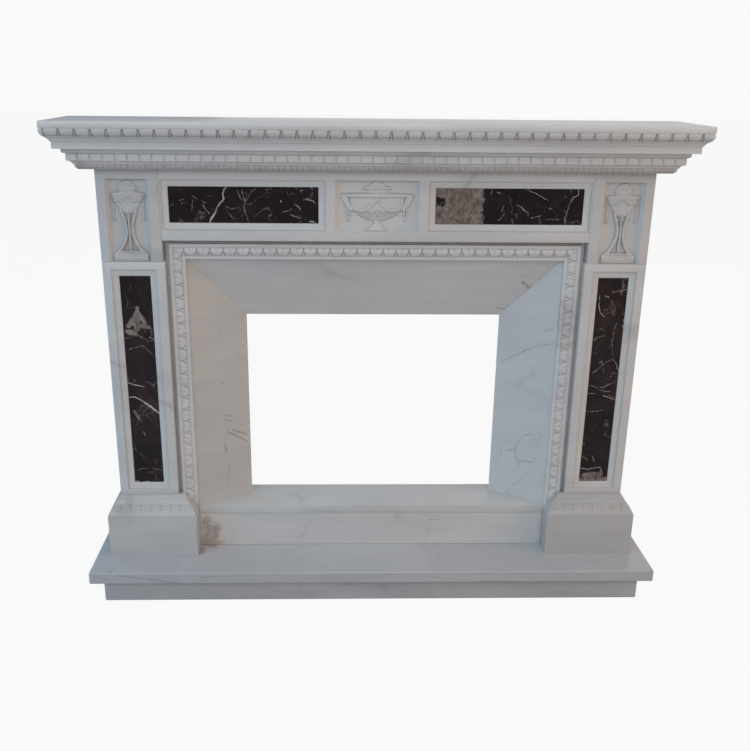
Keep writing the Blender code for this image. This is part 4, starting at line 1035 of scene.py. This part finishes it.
def moulding(start, end, place, begin):
    """One strip between two end surfaces; place(out, depth, along) sets a point of it in the room."""
    outline = moulding_outline()
    low = min(start(a) for a, b, up in outline)
    high = max(end(a) for a, b, up in outline)

    def at(along, row):
        out, depth, up = row
        held = min(end(out), max(start(out), along))
        # Painted shade and dirt: the faces of the deep groove are marked fully hollow, so they are darkened.
        sink, hollow = 0.0, 1.0 if depth > MOULDING_FRONT + 0.004 and out > MOULDING_WIDTH - 0.0002 else 0.0
        if up is not None:
            sink, hollow = moulding_leaf(along - begin, up)
            sink *= max(0.0, min(1.0, (end(out) - along) / 0.003, (along - start(out)) / 0.003))
        return place(out, depth + sink, held), hollow

    return skin(spread(low, high, MOULDING_LEAF / 28), outline, at)


def side_strip():
    slope = (STRIP_FOOT_OUTER - STRIP_FOOT_INNER) / (MOULDING_WIDTH + GROOVE)
    return moulding(lambda out: STRIP_FOOT_INNER + JOINT + slope * out, lambda out: CLEAR_TOP + out - JOINT,
                    lambda out, depth, z: (HALF_CLEAR + out, depth, z), CLEAR_TOP)


top_strip = moulding(lambda out: -HALF_CLEAR - out, lambda out: HALF_CLEAR + out,
                     lambda out, depth, x: (x, depth, CLEAR_TOP + out), MOULDING_LEAF / 2)
# Painted light: the moulding strips are made a little lighter than the legs, the side ones more than the top
# one.
finish = white_marble("top moulding marble", 31.0, 1.04, dust=0.6, dust_colour=GROOVE_DUST_AND_SHADE)
set_stone("moulding_strip_top", top_strip, finish, "inner_moulding_top", CARVED_CREASE)
for side, hand in ((1, "right"), (-1, "left")):
    finish = white_marble(f"{hand} moulding marble", 33.0 + side, 1.06, dust=0.42, dust_colour=GROOVE_DUST_AND_SHADE)
    set_stone(f"moulding_strip_{hand}", handed(side_strip(), side), finish, f"inner_moulding_{hand}",
              CARVED_CREASE)


# The slips: plain slabs of white marble that splay inwards from the moulding to the fire opening, mitred at
# the top corners. The right one has a net of grey veins, the other two a few dark specks and brown stains.

REAR_HALF = 0.332
SLIP_REAR = 0.1035
REAR_TOP = 0.7235
SLIP_THICKNESS = 0.020
SLIP_STEPS = 40
SLIP_STRAY = 0.0010
SLIP_FINEST = 0.0030


def slip_section(front_edge, rear_edge):
    """A slip's section: its seen face in small steps, then its hidden ones."""
    run = front_edge - rear_edge
    depth = SLIP_REAR - SLIP_FRONT
    width = SLIP_THICKNESS * math.hypot(run, depth) / depth
    face = [(front_edge - run * n / SLIP_STEPS, SLIP_FRONT + depth * n / SLIP_STEPS)
            for n in range(SLIP_STEPS + 1)]
    return face + [(rear_edge + width, SLIP_REAR), (front_edge + width, SLIP_FRONT), face[0]]


def side_slip():
    section = slip_section(HALF_CLEAR, REAR_HALF)
    heads = slip_section(CLEAR_TOP, REAR_TOP)

    def at(share, number):
        x, y = section[number]
        return (x, y, RAISED_TOP + (heads[number][0] - JOINT - RAISED_TOP) * share), 0.0

    return skin([n / 200 for n in range(201)], range(len(section)), at)


def top_slip():
    section = slip_section(CLEAR_TOP, REAR_TOP)
    widths = slip_section(HALF_CLEAR, REAR_HALF)

    def at(share, number):
        z, y = section[number]
        return (widths[number][0] * share, y, z), 0.0

    return skin([n / 120 - 1 for n in range(241)], range(len(section)), at)


def on_side(lines):
    """Lines drawn on a side slip, from their places across the room and their heights."""
    slope = (SLIP_REAR - SLIP_FRONT) / (HALF_CLEAR - REAR_HALF)
    return [(width, [(x, SLIP_FRONT + (HALF_CLEAR - abs(x)) * slope, z) for x, z in points])
            for width, points in lines]


def on_top(lines):
    """Lines drawn on the top slip, placed in the same way."""
    slope = (SLIP_REAR - SLIP_FRONT) / (CLEAR_TOP - REAR_TOP)
    return [(width, [(x, SLIP_FRONT + (CLEAR_TOP - z) * slope, z) for x, z in points])
            for width, points in lines]


RIGHT_VEINS = (
    (0.0027, ((0.344, 0.595), (0.396, 0.636), (0.432, 0.659), (0.466, 0.668))),
    (0.0030, ((0.334, 0.357), (0.352, 0.358), (0.360, 0.345), (0.354, 0.317), (0.341, 0.319))),
    (0.0030, ((0.360, 0.345), (0.392, 0.354), (0.395, 0.378), (0.413, 0.403), (0.437, 0.412),
              (0.450, 0.421))),
    (0.0030, ((0.392, 0.354), (0.396, 0.328), (0.406, 0.325), (0.439, 0.331), (0.446, 0.347),
              (0.450, 0.360))),
    (0.0027, ((0.396, 0.328), (0.404, 0.307))), (0.0023, ((0.446, 0.417), (0.444, 0.379))),
    (0.0023, ((0.451, 0.415), (0.452, 0.393))), (0.0023, ((0.437, 0.406), (0.434, 0.382))),
    (0.0023, ((0.423, 0.291), (0.377, 0.223))), (0.0025, ((0.436, 0.695), (0.463, 0.710))),
    (0.0020, ((0.396, 0.636), (0.427, 0.562), (0.453, 0.526))))
LEFT_VEINS = (
    (0.0025, ((-0.402, 0.464), (-0.387, 0.452), (-0.375, 0.452))),
    (0.0023, ((-0.397, 0.443), (-0.378, 0.435))),
    (0.0027, ((-0.391, 0.424), (-0.391, 0.412))), (0.0027, ((-0.397, 0.379), (-0.398, 0.352))),
    (0.0038, ((-0.3985, 0.348), (-0.399, 0.338))), (0.0025, ((-0.393, 0.364), (-0.393, 0.349))),
    (0.0020, ((-0.389, 0.324), (-0.392, 0.251))), (0.0023, ((-0.398, 0.694), (-0.396, 0.688))),
    (0.0023, ((-0.354, 0.618), (-0.354, 0.610))), (0.0018, ((-0.351, 0.554), (-0.351, 0.489))),
    (0.0022, ((-0.399, 0.547), (-0.389, 0.539))))
LEFT_STAINS = ((0.0024, ((-0.391, 0.407), (-0.367, 0.389), (-0.342, 0.368))),
               (0.0027, ((-0.376, 0.409), (-0.341, 0.388))))
TOP_SLIP_VEINS = (
    (0.0034, ((0.124, 0.791), (0.130, 0.787), (0.137, 0.785))), (0.0030, ((0.320, 0.774), (0.332, 0.766))),
    (0.0027, ((0.336, 0.764), (0.346, 0.767))), (0.0030, ((0.382, 0.817), (0.392, 0.806), (0.403, 0.799))),
    (0.0027, ((0.403, 0.799), (0.416, 0.812), (0.430, 0.815))), (0.0025, ((0.372, 0.842), (0.397, 0.836))))
TOP_SLIP_STAINS = ((0.0040, ((0.378, 0.822), (0.403, 0.801))), (0.0030, ((0.326, 0.745), (0.352, 0.738))))

for side, hand, veins, stains in ((1, "right", RIGHT_VEINS, ()), (-1, "left", LEFT_VEINS, LEFT_STAINS)):
    slip = handed(side_slip(), side)
    draw_lines(slip, "vein", natural(on_side(veins), SLIP_STRAY, random.Random(side)), SLIP_FINEST)
    draw_lines(slip, "stain", on_side(stains))
    # Painted light and shade: the right slip is made lighter and the left one darker. The left slip's darker
    # colour is partly its own beige stone.
    finish = white_marble(f"{hand} slip marble", 36.0 + side, 0.97 + 0.05 * side,
                          vein_drawn=0.50 - 0.07 * side)
    set_stone(f"slip_slab_{hand}", slip, finish, f"slip_{hand}")
slip = top_slip()
draw_lines(slip, "vein", natural(on_top(TOP_SLIP_VEINS), SLIP_STRAY, random.Random(5)), SLIP_FINEST)
draw_lines(slip, "stain", on_top(TOP_SLIP_STAINS))
# Painted light: the top slip is made lighter.
finish = white_marble("top slip marble", 39.0, 1.12, vein_drawn=0.62)
set_stone("slip_slab_top", slip, finish, "slip_top")


# The bed moulding: the course under the shelf, of white marble. A small rounded moulding with a row of tiny
# leaves comes first, then two narrow steps, then close-set dentils below a hollow.

BED_TOP = 1.1515
BED_FOOT = 0.026
BED_WALL = 0.044
DENTIL_OUT = 0.050
DENTIL_PITCH = 0.028
DENTIL_GAP = 0.0050
BED_LEAF = 0.0140
CORNER_DENTIL = 0.027
DENTIL_SINK = 0.0028
BED_CELL = 0.0022
BED_CREASE = 32.0
CORONA_FOOT = 0.0575
# The brown that darkens the bed course's leaves and dentil gaps: painted shade with dirt.
BED_DUST_AND_SHADE = (0.34, 0.25, 0.225)


def bed_leaf(along, up):
    """Tiny worn leaves, low on the course."""
    u = along / BED_LEAF % 1.0 - 0.5
    sink = (abs(u) / 0.5) ** 2 * (1.1 - 0.5 * up) + 0.35 * math.exp(-(u / 0.07) ** 2)
    sink *= max(0.0, min(1.0, up / 0.20, (1.0 - up) / 0.12))
    # Painted shade: the whole leaf row is darkened, more between the leaves.
    return 0.0022 * min(1.0, sink), 0.48 + 0.45 * max(0.0, sink - 0.2)


def bed_course():
    """The course with its row of dentils, one of which stands on each front corner."""
    high = BED_TOP - FRIEZE_TOP
    ovolo = ((0.0, 0.0), (0.10, 0.002), (0.33, 0.06), (0.45, 0.11), (0.53, 0.16), (0.56, 0.26))
    steps = ((0.58, 0.265), (0.75, 0.28), (0.75, 0.35), (0.80, 0.365), (1.0, 0.38), (1.0, 0.425))
    rise = BED_WALL - BED_FOOT
    profile = [(BED_FOOT + rise * out, FRIEZE_TOP + high * up) for out, up in steps]
    profile += [(DENTIL_OUT - 0.0004, FRIEZE_TOP + high * 0.43), (DENTIL_OUT, FRIEZE_TOP + high * 0.44)]
    profile += [(DENTIL_OUT, FRIEZE_TOP + high * 0.452), (DENTIL_OUT, FRIEZE_TOP + high * 0.455)]
    profile += [(DENTIL_OUT, FRIEZE_TOP + high * 0.735), (DENTIL_OUT, FRIEZE_TOP + high * 0.738)]
    profile += [(DENTIL_OUT, FRIEZE_TOP + high * 0.75), (DENTIL_OUT - 0.0012, FRIEZE_TOP + high * 0.765)]
    profile += [(DENTIL_OUT + 0.0030, FRIEZE_TOP + high * 0.785)]
    profile += [(CORONA_FOOT - 0.0014, FRIEZE_TOP + high * 0.81)]
    profile += [(CORONA_FOOT, FRIEZE_TOP + high * 0.85), (CORONA_FOOT, BED_TOP - JOINT)]
    low = [(BED_FOOT + rise * out, FRIEZE_TOP + high * up) for out, up in ovolo]
    rows = [(out, z, (z - FRIEZE_TOP) / high) for out, z in smooth_line(low, 0.0013)]
    rows += [(out, z, (z - FRIEZE_TOP) / high) for out, z in profile]
    first = CORNER_DENTIL - (DENTIL_OUT - BED_FOOT)
    span = 2 * (LEG_OUTER + BED_FOOT - first)
    pitch = span / round(span / DENTIL_PITCH)
    half = DENTIL_GAP / 2
    gaps = [first + number * pitch for number in range(round(span / pitch) + 1)]
    edges = [[start + gap + side * (half + more)
              for gap in gaps for side in (-1, 1) for more in (0.0, 0.0002)]
             for start in (-LEG_OUTER - BED_FOOT, FACE - BED_FOOT)]

    def carve(along, up):
        if up < 0.27:
            return bed_leaf(along, up / 0.27)
        off = abs((along - first + pitch / 2) % pitch - pitch / 2)
        if 0.4525 < up < 0.7365 and off < half + 0.0001:
            # Painted shade: the gaps between the dentils are darkened a little.
            return DENTIL_SINK, 0.15
        return 0.0, 0.0

    return course(-LEG_OUTER, LEG_OUTER, rows, BED_CELL, carve, edges=edges)


# Painted light and shade: the bed course is made a little lighter, and its leaves and dentil gaps darkened.
finish = white_marble("bed moulding marble", 42.0, 1.07, dust=0.75, dust_colour=BED_DUST_AND_SHADE)
set_stone("dentil_course", bed_course(), finish, "bed_moulding", BED_CREASE)


# The shelf: one long slab of white marble. Its edge has a plain corona, a hollow, a row of carved eggs and
# darts, and a square fillet at the top, all mitred round both ends.

SHELF_TOP = 1.213
CORONA_OUT = 0.0735
SHELF_OUT = 0.094
EGG_PITCH = 0.0354
EGG_DEPTH = 0.0050


def egg_and_dart(along, up):
    """Wide eggs cut square at the top, with a narrow dart between two grooves that flare at the foot."""
    u = along / EGG_PITCH % 1.0 - 0.5
    edge = 0.5 - abs(u)
    flare = 0.026 + 0.085 * (1.0 - up) ** 1.3
    groove = math.exp(-((edge - flare) / 0.036) ** 2) * (0.70 + 0.30 * (1.0 - up))
    if edge > flare:
        form = 0.24 * (abs(u) / 0.42) ** 2.6 + 0.42 * max(0.0, (0.24 - up) / 0.24) ** 1.6
    else:
        form = 0.25 * edge / flare + 0.12
    sink = min(1.0, max(groove, form))
    sink *= max(0.0, min(1.0, up / 0.05, (1.0 - up) / 0.05))
    # Painted shade: the whole egg-and-dart band is darkened, the grooves beside the darts more.
    return EGG_DEPTH * sink, 0.36 + 0.8 * max(0.0, groove - 0.25)


def shelf_course():
    high = SHELF_TOP - BED_TOP
    step = SHELF_OUT - CORONA_OUT
    low = [(0.0, 0.0), (0.0, 0.25), (0.03, 0.262), (0.10, 0.268)]
    hollow = [(0.12, 0.275), (0.15, 0.30), (0.20, 0.33), (0.28, 0.365), (0.38, 0.40), (0.50, 0.425),
              (0.56, 0.432)]
    egg = [(0.58, 0.45), (0.74, 0.48), (0.86, 0.52), (0.94, 0.57), (0.985, 0.63), (0.995, 0.68),
           (0.98, 0.735)]
    top = [(0.925, 0.742), (0.925, 0.752), (0.98, 0.762), (1.0, 0.775)]
    rows = [(CORONA_OUT + step * out, BED_TOP + high * up, None) for out, up in low + hollow]
    points = [(CORONA_OUT + step * out, BED_TOP + high * up) for out, up in egg]
    rows += banded(points, points[0][1], points[-1][1], 0.0013)
    rows += [(CORONA_OUT + step * out, BED_TOP + high * up, None) for out, up in top]
    rows += [(SHELF_OUT, SHELF_TOP - 0.0015, None), (SHELF_OUT - 0.0005, SHELF_TOP - 0.0004, None),
             (SHELF_OUT - 0.0015, SHELF_TOP, None)]
    return course(-LEG_OUTER, LEG_OUTER, rows, EGG_PITCH / 28, egg_and_dart)


# Painted light and shade: the shelf is made lighter, standing in for the light on its upper mouldings, and
# its egg-and-dart band is darkened.
finish = white_marble("shelf marble", 45.0, 1.10, dust=0.85)
set_stone("mantelshelf", shelf_course(), finish, "shelf", CARVED_CREASE)


# The room: a plain pale floor under a wide soft light from the front and one from the ceiling. Cool windows
# light the left, in front and behind, a warm wall the right, and a plain wall the back. The camera stands
# where the photograph was taken from, a little left of the middle and just above the shelf.

FLOOR_TONE = (0.46, 0.43, 0.42)
FLOOR_FADE = 0.93
FLOOR_SIZE = 30.0
LENS_MM = 44.924
SENSOR_MM = 36.0
LENS_SHIFT = (0.01968, 0.04828)
CAMERA_PLACE = (-0.1071638, -2.297896, 1.3202228)
CAMERA_RIGHT = (0.9995652, -0.0276546, 0.0102333)
CAMERA_AHEAD = (0.0294865, 0.9398721, -0.3402512)
CAMERA_UP = (-0.0002085, 0.3404050, 0.9402789)


def plain_floor():
    """A pale floor that fades to white for the camera, and keeps a soft shadow at the hearth's foot."""
    bm = bmesh.new()
    bmesh.ops.create_grid(bm, x_segments=1, y_segments=1, size=FLOOR_SIZE)
    mesh = bpy.data.meshes.new("floor")
    bm.to_mesh(mesh)
    bm.free()
    finish = Finish("pale floor")
    finish.shader.inputs["Base Color"].default_value = (*FLOOR_TONE, 1)
    finish.shader.inputs["Roughness"].default_value = 1.0
    seen = finish.node("ShaderNodeLightPath", out="Is Camera Ray")
    glow = finish.node("ShaderNodeEmission", {}, {"Color": (1, 1, 1, 1), "Strength": 1.0})
    shaded = Signal(finish, finish.shader.outputs[0])
    mixed = finish.node("ShaderNodeMixShader", {}, {0: seen * FLOOR_FADE, 1: shaded, 2: glow})
    finish.feed(finish.tree.nodes["Material Output"].inputs["Surface"], mixed)
    mesh.materials.append(finish.material)
    floor = bpy.data.objects.new("floor", mesh)
    bpy.context.scene.collection.objects.link(floor)


def soft_light(name, at, aim, size, power, colour):
    """A wide lamp that stands at a place and shines at another."""
    light = bpy.data.lights.new(name, "AREA")
    light.shape = "RECTANGLE"
    light.size, light.size_y = size
    light.energy = power
    light.color = colour
    lamp = bpy.data.objects.new(name, light)
    lamp.location = at
    lamp.rotation_euler = (Vector(aim) - Vector(at)).to_track_quat("-Z", "Y").to_euler()
    bpy.context.scene.collection.objects.link(lamp)


plain_floor()
soft_light("front window", (-0.3, -4.6, 2.7), (0, 0, 0.75), (4.2, 3.0), 60, (1.0, 0.98, 0.965))
soft_light("cool window", (-3.4, -1.5, 1.6), (0, 0, 0.7), (2.2, 2.6), 35.5, (0.25, 0.64, 1.0))
soft_light("warm wall", (3.4, -1.5, 1.6), (0, 0, 0.7), (2.2, 2.6), 30, (1.0, 0.68, 0.44))
soft_light("far window", (-2.6, 1.9, 1.5), (-0.6, -0.2, 0.05), (1.2, 1.4), 17, (0.22, 0.58, 1.0))
soft_light("back wall", (0.9, 4.4, 2.0), (0, 0, 0.6), (4.0, 3.0), 30, (1.0, 0.97, 0.93))
soft_light("ceiling", (0.0, -0.9, 3.3), (0, -0.1, 0.3), (4.0, 2.2), 25, (0.95, 0.98, 1.0))

world = bpy.data.worlds.new("room")
bpy.context.scene.world = world
world.use_nodes = True
nodes = world.node_tree.nodes
nodes["Background"].inputs["Color"].default_value = (0.96, 0.97, 1.0, 1)
nodes["Background"].inputs["Strength"].default_value = 0.20
beyond = nodes.new("ShaderNodeBackground")
beyond.inputs["Color"].default_value = (0.955, 0.955, 0.955, 1)
seen = nodes.new("ShaderNodeLightPath")
share = nodes.new("ShaderNodeMixShader")
for source, target in ((seen.outputs["Is Camera Ray"], share.inputs[0]),
                       (nodes["Background"].outputs[0], share.inputs[1]),
                       (beyond.outputs[0], share.inputs[2]),
                       (share.outputs[0], nodes["World Output"].inputs["Surface"])):
    world.node_tree.links.new(source, target)

camera = bpy.data.cameras.new("camera")
camera.lens = LENS_MM
camera.sensor_width = SENSOR_MM
camera.shift_x, camera.shift_y = LENS_SHIFT
camera.clip_end = 100.0
eye = bpy.data.objects.new("camera", camera)
eye.location = CAMERA_PLACE
bpy.context.scene.collection.objects.link(eye)
turned = Matrix((CAMERA_RIGHT, CAMERA_UP, -Vector(CAMERA_AHEAD))).transposed()
eye.rotation_euler = turned.to_euler()
bpy.context.scene.camera = eye
bpy.context.scene.view_settings.view_transform = "Standard"
